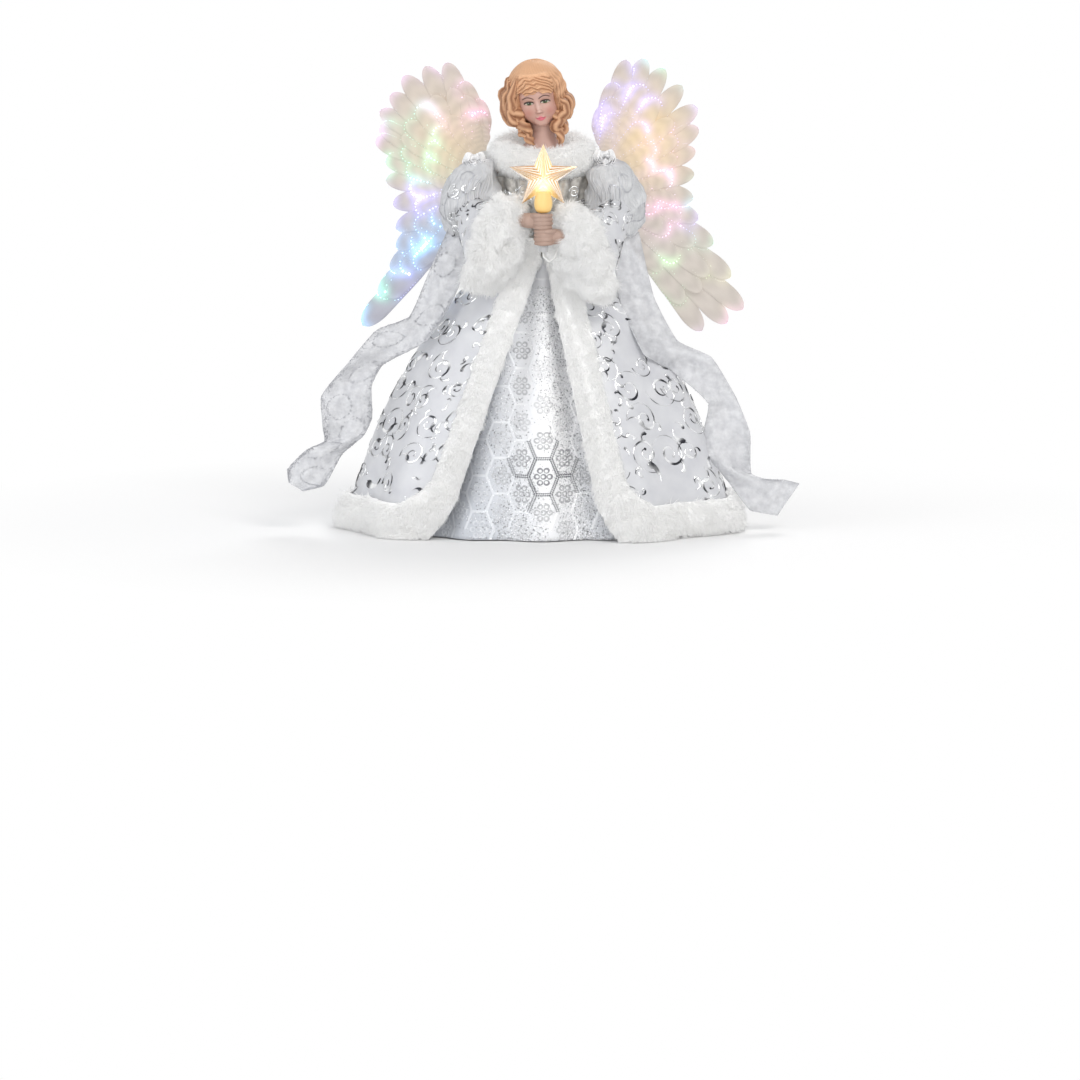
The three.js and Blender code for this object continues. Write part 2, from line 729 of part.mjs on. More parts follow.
function torsoHalves() {
  const shell = torsoShell();
  const seam = CLEARANCE / 2;
  const front = shell.intersect(solidOf(block([-FAR, FAR], [-FAR, -seam], [-FAR, FAR])));
  const rear = shell.intersect(solidOf(block([-FAR, FAR], [seam, FAR], [-FAR, FAR])));
  const bossFront = lidRear + CLEARANCE;
  const screwTip = HOUSING_REAR + LID_SCREW_LENGTH + PAST;
  const bosses = [-1, 1].map((side) => {
    const x = side * LID_SCREW_OUT;
    const boss = solidOf(rodBack(x, LID_SCREW_HEIGHT, bossFront, TORSO_SECTIONS[2][2], BOSS_RADIUS));
    return cut(
      boss.intersect(solidOf(loft(sections(-TORSO_WALL / 2, CLEARANCE, torsoTop)))),
      solidOf(rodBack(x, LID_SCREW_HEIGHT, bossFront - PAST, screwTip, SCREW_RADIUS + CLEARANCE)),
    );
  });
  const back = cut(joined(rear, ...bosses), fibreRoom(), bracketScrewRoom());
  return [front, back];
}

function bodice() {
  const shell = cut(
    solidOf(loft(sections(CLEARANCE + BODICE_CLOTH, 2 * CLEARANCE, torsoTop))),
    solidOf(loft(sections(CLEARANCE, 0, torsoTop + CLEARANCE))),
    solidOf(block([-FAR, FAR], [-FAR, FAR], [BODICE_TOP, FAR])),
  );
  return cut(shell, armRoom(-1), armRoom(1), fibreRoom(), bracketScrewRoom());
}

// Head, with the neck and a plate that closes the top of the torso
function headTurn(geometry) {
  geometry.translate(0, 0, -NECK_PIVOT);
  geometry.rotateX(radians(HEAD_NOD));
  geometry.rotateY(radians(HEAD_ROLL));
  return geometry.translate(0, 0, NECK_PIVOT);
}

function plateSolid(grow) {
  const [, width, depth] = TORSO_SECTIONS.at(-1);
  const seat = torsoTop + CLEARANCE - grow;
  return solidOf(loft([
    levelRing(seat, width + grow, depth + grow),
    levelRing(seat + PLATE_RISE * 0.35 + grow, width * 0.85 + grow, depth * 0.92 + grow),
    levelRing(seat + PLATE_RISE + grow, NECK_RADIUS + 2 + grow, NECK_RADIUS + 1.5 + grow),
    levelRing(seat + PLATE_RISE * 1.6 + grow, NECK_RADIUS + grow, NECK_RADIUS + grow),
  ]));
}

function headSolid(grow) {
  const grown = (half) => half.map((size) => size + grow);
  const skull = ellipsoid([0, 0, HEAD_HEIGHT + 1], grown(SKULL_HALF), 12, 8);
  const jaw = ellipsoid([0, -JAW_FORWARD, HEAD_HEIGHT - JAW_DROP], grown(JAW_HALF));
  const route = [[0, 0, torsoTop + 4], [0, 0, NECK_PIVOT], [-1.8, 0.6, HEAD_HEIGHT - 12]];
  const neck = tube(smooth(route), NECK_RADIUS + grow, 4, 0, ROUND_SIDES);
  return joined(solidOf(headTurn(skull)), solidOf(headTurn(jaw)), solidOf(neck));
}

function head() {
  const [, width, depth] = TORSO_SECTIONS.at(-1);
  const inset = TORSO_WALL + CLEARANCE;
  const plug = solidOf(loft([
    levelRing(torsoTop - PLUG_LENGTH, width - inset, depth - inset),
    levelRing(torsoTop + 2 * CLEARANCE, width - inset, depth - inset),
  ]));
  const nosePlace = [0, -SKULL_HALF[1] * 0.95, HEAD_HEIGHT - NOSE_DROP];
  const nose = headTurn(ellipsoid(nosePlace, NOSE_HALF, 8, 6));
  return joined(headSolid(0), plateSolid(0), solidOf(nose), cut(plug, armRoom(-1), armRoom(1)));
}

// Hair: a cap open over the face, with locks that fall on both sides
function hair() {
  const [halfWidth, halfDepth] = HAIR_HALF;
  const lift = HEAD_HEIGHT + HAIR_LIFT;
  const cap = solidOf(headTurn(ellipsoid([0, HAIR_BACK, lift], HAIR_HALF, 14, 8)));
  const face = solidOf(headTurn(ellipsoid([0, -halfDepth, lift - FACE_DROP], FACE_HALF)));
  const nape = solidOf(headTurn(block([-FAR, FAR], [-FAR, FAR], [lift - FAR, lift - HAIR_CUT])));
  const locks = [];
  for (const side of [-1, 1]) {
    LOCK_TURNS.forEach((turn, i) => {
      const x = side * (halfWidth - LOCK_RADIUS) * Math.sin(radians(turn));
      const y = HAIR_BACK - (halfDepth - LOCK_RADIUS) * Math.cos(radians(turn));
      const end = COLLAR_HEIGHT + (i < LOCK_TURNS.length - 1 ? LOCK_END : REAR_LOCK_END);
      const rings = spread(0, 1, 7).map((share) => {
        const radius = LOCK_RADIUS * (0.78 + 0.22 * Math.cos(share * 14 + turn));
        const sway = vector(side * LOCK_SWAY * Math.sin(share * 7), Math.cos(share * 7), 0);
        const middle = vector(x * lerp(1, 0.86, share), y * lerp(1, 0.8, share), lerp(lift, end, share));
        return ring(middle.add(sway), vector(1, 0, 0), vector(0, 1, 0), radius, radius, 6);
      });
      locks.push(solidOf(headTurn(loft(rings))));
    });
  }
  return cut(joined(cut(cap, nape), ...locks), face, headSolid(CLEARANCE), plateSolid(CLEARANCE));
}

// Plush collar, lower in front, lying on the shoulders
function collar(hairSolid) {
  const rings = spread(0, 2 * Math.PI, 21).slice(0, -1).map((turn) => {
    const at = ovalPoint(turn, COLLAR_HALF_WIDTH, COLLAR_HALF_DEPTH, COLLAR_HEIGHT);
    at.z += COLLAR_SLOPE * at.y;
    const outwards = vector(at.x, at.y, 0).normalize();
    return ring(at, outwards, vector(0, 0, 1), COLLAR_RADIUS, COLLAR_RADIUS, 8);
  });
  return cut(
    solidOf(loft(rings, true)),
    plateSolid(PLUSH_GAP),
    headSolid(PLUSH_GAP),
    solidOf(loft(sections(CLEARANCE + BODICE_CLOTH + PLUSH_GAP, -PLUSH_GAP, torsoTop + PLUSH_GAP))),
    puffSolid(-1, PLUSH_GAP + PUFF_PUCKER),
    puffSolid(1, PLUSH_GAP + PUFF_PUCKER),
    armRoom(-1),
    armRoom(1),
    hairSolid,
  );
}

const [torsoFront, torsoBack] = torsoHalves();
piece(upper, "torso_front", geometryOf(torsoFront), WHITE_PLASTIC);
piece(upper, "torso_back", geometryOf(torsoBack), WHITE_PLASTIC);
piece(upper, "bodice", geometryOf(bodice()), SATIN);
piece(upper, "head", geometryOf(head()), SKIN);
const hairSolid = hair();
piece(upper, "hair", geometryOf(hairSolid), HAIR);

const leadRoom = solidOf(starLead(CLEARANCE));
for (const [side, label] of [[-1, "left"], [1, "right"]]) {
  const bodiceRoom = solidOf(loft(sections(2 * CLEARANCE + BODICE_CLOTH, 0, torsoTop)));
  const arm = cut(solidOf(armSolid(side, ARM_RADIUS, ARM_BORE)), leadRoom);
  const sleeve = cut(sleeveSolid(side, 0), armRoom(side), bodiceRoom);
  const puff = cut(puffSolid(side, 0), sleeveSolid(side, PLUSH_GAP), bodiceRoom);
  piece(upper, `arm_${label}`, geometryOf(arm), SKIN);
  piece(upper, `hand_${label}`, geometryOf(handSolid(side)), SKIN);
  piece(upper, `sleeve_${label}`, geometryOf(sleeve), SATIN);
  piece(upper, `puff_${label}`, geometryOf(puff), ORGANZA);
  piece(upper, `cuff_${label}`, geometryOf(cut(cuffSolid(side), armRoom(side))), PLUSH);
}
piece(upper, "collar", geometryOf(collar(hairSolid)), PLUSH);

// Torch, lamp and star
const cupFoot = STEM_TOP + CLEARANCE;
const cupTop = cupFoot + CUP_HEIGHT;
const lampFoot = cupFoot + CLEARANCE;
const starFoot = cupTop + CLEARANCE;
const starOuter = STAR_HALF_WIDTH / Math.cos(radians(18));
const starRise = STAR_HEIGHT / (1 + Math.cos(radians(36)));
const starMiddle = starFoot + STAR_WAIST * starRise;

function atTorch(geometry) {
  return geometry.translate(0, -TORCH_FORWARD, 0);
}

function cup() {
  const profile = new THREE.CatmullRomCurve3([
    vector(CUP_FOOT_RADIUS, cupFoot, 0),
    vector(CUP_RADIUS, cupFoot + CUP_HEIGHT * 0.5, 0),
    vector(CUP_FOOT_RADIUS, cupTop, 0),
  ]).getPoints(6);
  const bore = LAMP_RADIUS + CLEARANCE;
  const points = [[bore, cupFoot], ...profile.map(({ x, y }) => [x, y]), [bore, cupTop], [bore, cupFoot]];
  const outline = points.map(([radius, z]) => new THREE.Vector2(radius, z));
  return atTorch(new THREE.LatheGeometry(outline, 16).rotateX(Math.PI / 2));
}

function lamp() {
  const dome = spread(0, 90, 4).map((degrees) => new THREE.Vector2(
    LAMP_RADIUS * Math.cos(radians(degrees)),
    lampFoot + LAMP_HEIGHT - LAMP_RADIUS * (1 - Math.sin(radians(degrees))),
  ));
  const outline = [new THREE.Vector2(0, lampFoot), new THREE.Vector2(LAMP_RADIUS, lampFoot), ...dome];
  outline.at(-1).x = 0;
  return atTorch(new THREE.LatheGeometry(outline, ROUND_SIDES).rotateX(Math.PI / 2));
}

function starLens() {
  const rim = Array.from({ length: 10 }, (_, i) => {
    const share = i % 2 === 0 ? 1 : STAR_WAIST;
    const turn = (Math.PI * i) / 5;
    return vector(starOuter * share * Math.sin(turn), 0, starMiddle + starRise * share * Math.cos(turn));
  });
  const corners = [...rim, vector(0, -STAR_HALF_DEPTH, starMiddle), vector(0, STAR_HALF_DEPTH, starMiddle)];
  const faces = rim.flatMap((_, i) => {
    const next = (i + 1) % rim.length;
    return [i, next, 10, next, i, 11];
  });
  const star = new THREE.BufferGeometry().setFromPoints(corners);
  star.setIndex(faces.toReversed());
  const bore = LAMP_RADIUS + CLEARANCE;
  const lampTop = lampFoot + LAMP_HEIGHT;
  const socket = solidOf(rodUp(0, 0, starFoot, lampTop + STAR_SOCKET_WALL, bore + STAR_SOCKET_WALL));
  const room = solidOf(rodUp(0, 0, -FAR, lampTop + CLEARANCE, bore));
  const seat = solidOf(rodUp(0, 0, -FAR, starFoot, CUP_RADIUS + CLEARANCE));
  return atTorch(geometryOf(cut(joined(solidOf(star), socket), room, seat)));
}

function stem() {
  const foot = vector(0, -TORCH_FORWARD, STEM_FOOT);
  const curve = new THREE.LineCurve3(foot, foot.clone().setZ(STEM_TOP));
  return tube(curve, STEM_RADIUS, 1, STEM_BORE, ROUND_SIDES);
}

piece(upper, "torch_stem", stem(), WHITE_PLASTIC);
piece(upper, "lamp_cup", cup(), CREAM_PLASTIC);
piece(upper, "star_lamp", lamp(), LAMP_GLASS);
piece(upper, "star_lens", starLens(), CLEAR_PLASTIC);

// Light engine
function starLeadCurve() {
  const inArm = spread(0.06, 0.98, 12).map((share) => armCurve(1).getPoint(share).toArray());
  return smooth([
    [HOUSING_HALF_WIDTH - 3, 0, HOUSING_TOP - 6],
    [HOUSING_HALF_WIDTH + 2, 0, HOUSING_TOP - 6],
    [18, 1, HOUSING_TOP + 2],
    ...inArm,
    [9.5, 3 - TORCH_FORWARD, STEM_FOOT + 3],
    [8, 2 - TORCH_FORWARD, STEM_FOOT - 3],
    [4, 0.5 - TORCH_FORWARD, STEM_FOOT - 6.5],
    [0.6, -TORCH_FORWARD, STEM_FOOT - 4],
    [0, -TORCH_FORWARD, STEM_FOOT + 1],
    [0, -TORCH_FORWARD, STEM_FOOT + 8],
    [0, -TORCH_FORWARD, STEM_TOP],
  ]);
}

function batteryLeadCurve() {
  const floor = -CONE_HEIGHT;
  const inset = CONE_WALL + 2 * LEAD_RADIUS + CLEARANCE;
  const caseTop = CASE_HEIGHT_ON_CONE + (CASE_LENGTH / 2) * Math.cos(wallTilt);
  const bend = caseTop + LEAD_BEND;
  const alongWall = LEAD_ON_WALL.map((z) => [6, coneRadius(z) - inset, floor + z]);
  const inSpigot = spigotRadius - TORSO_WALL - 2 * LEAD_RADIUS - 1;
  return smooth([
    [LEAD_OUT, coneRadius(caseTop) - LEAD_OFF_WALL, floor + caseTop + 2 * CLEARANCE],
    [LEAD_OUT, coneRadius(bend) - LEAD_BEND_OFF_WALL, floor + bend],
    ...alongWall,
    [4, inSpigot, -SPIGOT_LENGTH - 2],
    [2, LEAD_ENTRY_BACK + 6, 4],
    [0, LEAD_ENTRY_BACK, HOUSING_FOOT - 5],
    [0, LEAD_ENTRY_BACK, HOUSING_FOOT + 4],
  ]);
}

function starLead(grow) {
  return tube(starLeadCurve(), STAR_LEAD_RADIUS + grow, 38);
}

function batteryLead(grow) {
  return tube(batteryLeadCurve(), LEAD_RADIUS + grow, 22);
}

function housing() {
  const inside = HOUSING_HALF_WIDTH - HOUSING_WALL;
  return cut(
    solidOf(block(
      [-HOUSING_HALF_WIDTH, HOUSING_HALF_WIDTH],
      [HOUSING_FRONT, HOUSING_REAR],
      [HOUSING_FOOT, HOUSING_TOP],
    )),
    solidOf(block(
      [-inside, inside],
      [HOUSING_FRONT + HOUSING_WALL, HOUSING_REAR + PAST],
      [HOUSING_FOOT + HOUSING_WALL, HOUSING_TOP - HOUSING_WALL],
    )),
    solidOf(starLead(CLEARANCE)),
    solidOf(batteryLead(CLEARANCE)),
  );
}

function ferruleLid() {
  const front = HOUSING_REAR + CLEARANCE;
  const rise = [HOUSING_FOOT, HOUSING_TOP];
  const plate = solidOf(block([-LID_HALF_WIDTH, LID_HALF_WIDTH], [front, lidRear], rise));
  const outer = FIBRE_RADIUS + CLEARANCE + FERRULE_WALL;
  const sleeves = [-1, 1].map((side) => {
    const span = [lidRear - LID_THICKNESS / 2, lidRear + FERRULE_LENGTH];
    return solidOf(rodBack(side * FERRULE_OUT, FERRULE_HEIGHT, ...span, outer));
  });
  const holes = [-1, 1].map((side) => {
    const span = [front - PAST, lidRear + PAST];
    return solidOf(rodBack(side * LID_SCREW_OUT, LID_SCREW_HEIGHT, ...span, SCREW_RADIUS + CLEARANCE));
  });
  const room = torsoRoom(-CLEARANCE);
  return cut(joined(plate, ...sleeves), fibreRoom(), ...holes).intersect(room);
}

function ledBoard() {
  const inset = HOUSING_WALL + CLEARANCE;
  const half = HOUSING_HALF_WIDTH - inset;
  const front = HOUSING_FRONT + inset;
  const rear = front + BOARD_THICKNESS;
  const board = solidOf(block([-half, half], [front, rear], [HOUSING_FOOT + inset, HOUSING_TOP - inset]));
  const leds = [-1, 1].map((side) => {
    const span = [rear - BOARD_THICKNESS / 2, rear + LED_LENGTH];
    return solidOf(rodBack(side * FERRULE_OUT, FERRULE_HEIGHT, ...span, LED_RADIUS));
  });
  return joined(board, ...leds);
}

// Screw along Y, its head in front of or behind the seat, its tip away from it
function screw(x, z, seat, length, headSide) {
  const rod = (from, to, radius) => solidOf(rodBack(x, z, Math.min(from, to), Math.max(from, to), radius));
  const head = rod(seat, seat + headSide * SCREW_HEAD_HEIGHT, SCREW_HEAD_RADIUS);
  const shank = rod(seat - headSide * length, seat + headSide * SCREW_HEAD_HEIGHT / 2, SCREW_RADIUS);
  return geometryOf(joined(head, shank));
}

piece(upper, "light_housing", geometryOf(housing()), WHITE_PLASTIC);
piece(upper, "ferrule_lid", geometryOf(ferruleLid()), WHITE_PLASTIC);
piece(upper, "led_board", geometryOf(ledBoard()), BOARD);
piece(upper, "star_lead", starLead(0), LEAD);
piece(upper, "battery_lead", batteryLead(0), LEAD);
for (const [side, label] of [[-1, "left"], [1, "right"]]) {
  const lidScrew = screw(side * LID_SCREW_OUT, LID_SCREW_HEIGHT, HOUSING_REAR, LID_SCREW_LENGTH, -1);
  piece(upper, `lid_screw_${label}`, lidScrew, STEEL);
  piece(upper, `fibre_bundle_${label}`, geometryOf(fibreSolid(side, 0)), FIBRE);
}

// Wing bracket with a socket for each wing's post
const socketBack = bracketRear + SOCKET_BEHIND;
const socketRadius = POST_RADIUS + CLEARANCE + SOCKET_WALL;

function wingBracket() {
  const rise = [BRACKET_FOOT, BRACKET_TOP];
  const plate = solidOf(block([-BRACKET_HALF_WIDTH, BRACKET_HALF_WIDTH], [bracketFront, bracketRear], rise));
  const solids = [plate];
  const bores = [];
  for (const side of [-1, 1]) {
    const x = side * SOCKET_OUT;
    const web = [(bracketFront + bracketRear) / 2, socketBack];
    solids.push(solidOf(block([x - POST_RADIUS, x + POST_RADIUS], web, rise)));
    solids.push(solidOf(rodUp(x, socketBack, ...rise, socketRadius)));
    const bore = [BRACKET_FOOT - PAST, BRACKET_TOP + PAST];
    bores.push(solidOf(rodUp(x, socketBack, ...bore, POST_RADIUS + CLEARANCE)));
  }
  return cut(joined(...solids), ...bores, bracketScrewRoom());
}

piece(upper, "wing_bracket", geometryOf(wingBracket()), WHITE_PLASTIC);
BRACKET_SCREW_HEIGHTS.forEach((z, i) => {
  const seat = bracketRear + CLEARANCE;
  piece(upper, `bracket_screw_${i + 1}`, screw(0, z, seat, BRACKET_SCREW_LENGTH, 1), STEEL);
});

// Wings, drawn flat with x outwards from the post and y up, then stood up and mirrored for the left
const flat = (points) => points.map(([x, y]) => new THREE.Vector2(x, y));
const tipLine = new THREE.SplineCurve(flat(WING_TIPS));
const rootLine = new THREE.LineCurve(...flat(WING_ROOT));

// Outline of the largest area of a drawn line, without the loops where it crosses itself
function uncrossed(outline) {
  const section = new wasm.CrossSection([outline.map(({ x, y }) => [x, y])], "NonZero");
  const [largest] = section.decompose().toSorted((one, other) => other.area() - one.area());
  return flat(largest.simplify(CLEARANCE).toPolygons()[0]);
}

// Scalloped outline of a layer of overlapping feathers, with a notch between each two tips
function layerOutline(count, reach, width) {
  const half = width / 2;
  const shares = spread(0, 1, count);
  const blades = shares.map((share) => {
    const root = rootLine.getPoint(share);
    const axis = tipLine.getPoint(share).sub(root).multiplyScalar(reach);
    const length = axis.length();
    axis.normalize();
    const across = new THREE.Vector2(axis.y, -axis.x);
    const at = (along, out) => root.clone().addScaledVector(axis, along).addScaledVector(across, out);
    return { length, at };
  });
  const outline = [blades[0].at(0, -half), blades[0].at(blades[0].length / 2, -half)];
  blades.forEach(({ length, at }, i) => {
    for (const degrees of spread(-45, 45, 4)) {
      const turn = radians(degrees);
      outline.push(at(length - half * (1 - Math.cos(turn)), half * Math.sin(turn)));
    }
    const next = blades[i + 1];
    if (next) outline.push(at(length - half, 0).lerp(next.at(next.length - half, 0), 0.5));
  });
  const last = blades.at(-1);
  outline.push(last.at(last.length / 2, half), last.at(0, half));
  return uncrossed(outline);
}

function standing(outline, side, front, thickness) {
  const shape = new THREE.Shape(outline.map(({ x, y }) => new THREE.Vector2(side * x, y)));
  const geometry = new THREE.ExtrudeGeometry(shape, { depth: thickness, bevelEnabled: false });
  return geometry.rotateX(Math.PI / 2).translate(0, front + thickness, 0);
}

function featherLayer(side, count, reach, width, front) {
  return standing(layerOutline(count, reach, width), side, front, FEATHER_THICKNESS);
}

function fibreFan(side, front) {
  const shares = spread(0, 1, 12);
  const near = shares.map((share) => rootLine.getPoint(share));
  const far = shares.map((share) => rootLine.getPoint(share).lerp(tipLine.getPoint(share), FAN_REACH));
  return standing([...near, ...far.toReversed()], side, front, FAN_THICKNESS);
}

function wingSpine(side) {
  const foot = BRACKET_TOP + CLEARANCE;
  const inner = side * -POST_RADIUS;
  const outer = side * (2 * SPINE_HALF_WIDTH - POST_RADIUS);
  const width = [Math.min(inner, outer), Math.max(inner, outer)];
  const bar = block(width, [-POST_RADIUS, SPINE_DEPTH], [foot, foot + SPINE_HEIGHT]);
  const post = rodUp(0, 0, BRACKET_FOOT + CLEARANCE, foot + SPINE_HEIGHT / 2, POST_RADIUS);
  return geometryOf(joined(solidOf(bar), solidOf(post)));
}

for (const [side, label] of [[-1, "left"], [1, "right"]]) {
  const wing = new THREE.Group();
  wing.position.set(side * SOCKET_OUT, socketBack, 0);
  wing.rotation.z = side * radians(WING_SWEEP);
  upper.add(wing);
  const covertFront = SPINE_DEPTH + CLEARANCE;
  const fanFront = covertFront + FEATHER_THICKNESS + CLEARANCE;
  const longFront = fanFront + FAN_THICKNESS + CLEARANCE;
  const coverts = featherLayer(side, COVERT_FEATHERS, COVERT_REACH, COVERT_FEATHER_WIDTH, covertFront);
  const longs = featherLayer(side, LONG_FEATHERS, 1, LONG_FEATHER_WIDTH, longFront);
  piece(wing, `wing_spine_${label}`, wingSpine(side), WHITE_PLASTIC);
  piece(wing, `covert_feathers_${label}`, coverts, FEATHER);
  piece(wing, `fibre_fan_${label}`, fibreFan(side, fanFront), FIBRE);
  piece(wing, `long_feathers_${label}`, longs, FEATHER);
}

// Sash tails, hanging from the puffs
function sash(stations) {
  const middles = smooth(stations.map(([middle]) => middle));
  const halves = smooth(stations.map(([, half]) => half));
  const rings = spread(0, 1, 22).map((share) => {
    const middle = middles.getPoint(share);
    const half = halves.getPoint(share);
    const normal = half.clone().cross(middles.getTangent(share)).setLength(SASH_CLOTH / 2);
    const edges = spread(-1, 1, 3).map((side) => middle.clone().addScaledVector(half, side));
    return [
      ...edges.map((point) => point.clone().add(normal)),
      ...edges.toReversed().map((point) => point.clone().sub(normal)),
    ];
  });
  return loft(rings);
}

for (const [side, label, stations] of [[-1, "left", SASH_LEFT], [1, "right", SASH_RIGHT]]) {
  const puffRoom = puffSolid(side, PUFF_PUCKER + CLEARANCE);
  const tail = cut(solidOf(sash(stations)), puffRoom, sleeveSolid(side, PLUSH_GAP));
  piece(upper, `sash_${label}`, geometryOf(tail), ORGANZA);
}

// Battery case. In its group, y = 0 is the inside of the cone's back wall and +Z runs up along it.
const battery = new THREE.Group();
const wallBack = coneRadius(CASE_HEIGHT_ON_CONE) - CONE_WALL / Math.cos(wallTilt);
battery.position.set(0, wallBack, CASE_HEIGHT_ON_CONE);
battery.rotation.x = wallTilt;
figure.add(battery);

const caseRear = -CASE_STAND_OFF;
const caseFront = caseRear - CASE_DEPTH;
const cellMiddle = caseRear - CASE_DEPTH / 2;
const innerLength = CASE_LENGTH - 2 * CASE_WALL;
const switchFoot = -CASE_LENGTH / 2;

function batteryCase() {
  const halfWidth = CASE_WIDTH / 2;
  const halfLength = CASE_LENGTH / 2;
  const slotHalf = (SWITCH_WIDTH + SWITCH_TRAVEL) / 2 + CLEARANCE;
  const slotDepth = SWITCH_DEPTH / 2 + CLEARANCE;
  return cut(
    solidOf(block([-halfWidth, halfWidth], [caseFront, caseRear], [-halfLength, halfLength])),
    solidOf(block(
      [CASE_WALL - halfWidth, halfWidth - CASE_WALL],
      [caseFront - PAST, caseRear - CASE_WALL],
      [CASE_WALL - halfLength, halfLength - CASE_WALL],
    )),
    solidOf(block(
      [-slotHalf, slotHalf],
      [cellMiddle - slotDepth, cellMiddle + slotDepth],
      [switchFoot - PAST, switchFoot + CASE_WALL + PAST],
    )),
  );
}

function batteryCover() {
  const inset = CASE_WALL + CLEARANCE;
  const halfWidth = CASE_WIDTH / 2;
  const halfLength = CASE_LENGTH / 2;
  const rear = caseFront - CLEARANCE;
  const within = (margin) => [
    [margin - halfWidth, halfWidth - margin],
    [margin - halfLength, halfLength - margin],
  ];
  const slab = (margin, depth) => {
    const [width, length] = within(margin);
    return solidOf(block(width, depth, length));
  };
  const plate = slab(0, [rear - COVER_THICKNESS, rear]);
  const lip = cut(
    slab(inset, [rear - COVER_THICKNESS / 2, caseFront + COVER_LIP]),
    slab(inset + COVER_LIP, [rear, caseFront + COVER_LIP + PAST]),
  );
  return joined(plate, lip);
}

function contactStrip(end, room) {
  const reach = (CELLS * CELL_PITCH) / 2;
  const wall = end * (innerLength / 2 - CLEARANCE - room);
  const cellEnd = end * (CELL_LENGTH / 2 + CLEARANCE);
  const between = (one, other) => [Math.min(one, other), Math.max(one, other)];
  const depth = [cellMiddle - CONTACT_HALF_HEIGHT, cellMiddle + CONTACT_HALF_HEIGHT];
  const plate = block([-reach, reach], depth, between(wall, wall - end * CONTACT_THICKNESS));
  const studs = spread(-CELL_PITCH, CELL_PITCH, CELLS).map((x) => {
    const span = between(cellEnd, wall - end * CONTACT_THICKNESS / 2);
    return solidOf(rodUp(x, cellMiddle, ...span, STUD_RADIUS));
  });
  return geometryOf(joined(solidOf(plate), ...studs));
}

function switchButton() {
  const x = -SWITCH_TRAVEL / 2;
  const halfWidth = SWITCH_WIDTH / 2;
  const depth = [cellMiddle - SWITCH_DEPTH / 2, cellMiddle + SWITCH_DEPTH / 2];
  const sliderFoot = switchFoot + CASE_WALL + CLEARANCE;
  const sliderHalf = halfWidth + SWITCH_TRAVEL + SWITCH_FLANGE;
  const knob = block([x - halfWidth, x + halfWidth], depth, [switchFoot - SWITCH_RISE, sliderFoot]);
  const slider = block(
    [x - sliderHalf, x + sliderHalf],
    [depth[0] - SWITCH_FLANGE, depth[1] + SWITCH_FLANGE],
    [sliderFoot, sliderFoot + SLIDER_THICKNESS],
  );
  return joined(solidOf(knob), solidOf(slider));
}

piece(battery, "battery_case", geometryOf(batteryCase()), WHITE_PLASTIC);
piece(battery, "battery_cover", geometryOf(batteryCover()), WHITE_PLASTIC);
spread(-CELL_PITCH, CELL_PITCH, CELLS).forEach((x, i) => {
  const cell = rodUp(x, cellMiddle, -CELL_LENGTH / 2, CELL_LENGTH / 2, CELL_RADIUS, 16);
  piece(battery, `cell_${i + 1}`, cell, CELL);
});
piece(battery, "contact_strip_top", contactStrip(1, 0), STEEL);
piece(battery, "contact_strip_foot", contactStrip(-1, SLIDER_THICKNESS + CLEARANCE), STEEL);
piece(battery, "switch_button", geometryOf(switchButton()), WHITE_PLASTIC);
const padRear = caseRear + CLEARANCE + PAD_THICKNESS;
const padDepth = [caseRear + CLEARANCE, padRear];
const pad = block([-PAD_WIDTH / 2, PAD_WIDTH / 2], padDepth, [-PAD_LENGTH / 2, PAD_LENGTH / 2]);
piece(battery, "case_pad", pad, FOAM);

// The origin is on the floor under the middle of the whole outline
const middle = new THREE.Box3().setFromObject(figure, true).getCenter(vector(0, 0, 0));
figure.position.set(-middle.x, -middle.y, 0);

export default topper;
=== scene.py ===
"""Looks of the angel tree topper. Shapes are worked out in millimetres round the axis of the cone."""
import math

import bpy
import numpy as np
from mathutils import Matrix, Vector


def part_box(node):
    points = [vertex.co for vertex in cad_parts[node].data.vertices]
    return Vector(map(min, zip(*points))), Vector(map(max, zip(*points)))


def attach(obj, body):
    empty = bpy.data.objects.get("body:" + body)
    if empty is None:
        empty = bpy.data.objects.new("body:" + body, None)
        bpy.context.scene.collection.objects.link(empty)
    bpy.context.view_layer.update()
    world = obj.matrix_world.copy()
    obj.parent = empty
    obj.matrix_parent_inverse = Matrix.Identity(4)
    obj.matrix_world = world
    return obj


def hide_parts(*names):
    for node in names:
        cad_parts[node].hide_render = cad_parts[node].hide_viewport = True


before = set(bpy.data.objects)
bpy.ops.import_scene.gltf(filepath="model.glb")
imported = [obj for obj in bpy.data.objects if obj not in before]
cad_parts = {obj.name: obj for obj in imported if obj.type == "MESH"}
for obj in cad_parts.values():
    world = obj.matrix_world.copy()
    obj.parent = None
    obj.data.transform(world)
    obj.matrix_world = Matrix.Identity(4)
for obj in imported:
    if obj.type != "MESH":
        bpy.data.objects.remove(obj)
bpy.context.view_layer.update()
scene = bpy.context.scene
scene.view_settings.view_transform = "Standard"
MM = 0.001

# Camera, far off and a little above
CAMERA_DISTANCE = 12
CAMERA_RISE = math.radians(7)
HALF_VIEW = 0.351
CAMERA_AIM = Vector((-0.0029, 0, -0.0089))
camera_way = Vector((0, -math.cos(CAMERA_RISE), math.sin(CAMERA_RISE)))
camera = bpy.data.objects.new("camera", bpy.data.cameras.new("camera"))
scene.collection.objects.link(camera)
scene.camera = camera
camera.data.angle = 2 * math.atan(HALF_VIEW / CAMERA_DISTANCE)
camera.location = CAMERA_AIM + CAMERA_DISTANCE * camera_way
camera.rotation_euler = (math.pi / 2 - CAMERA_RISE, 0, 0)

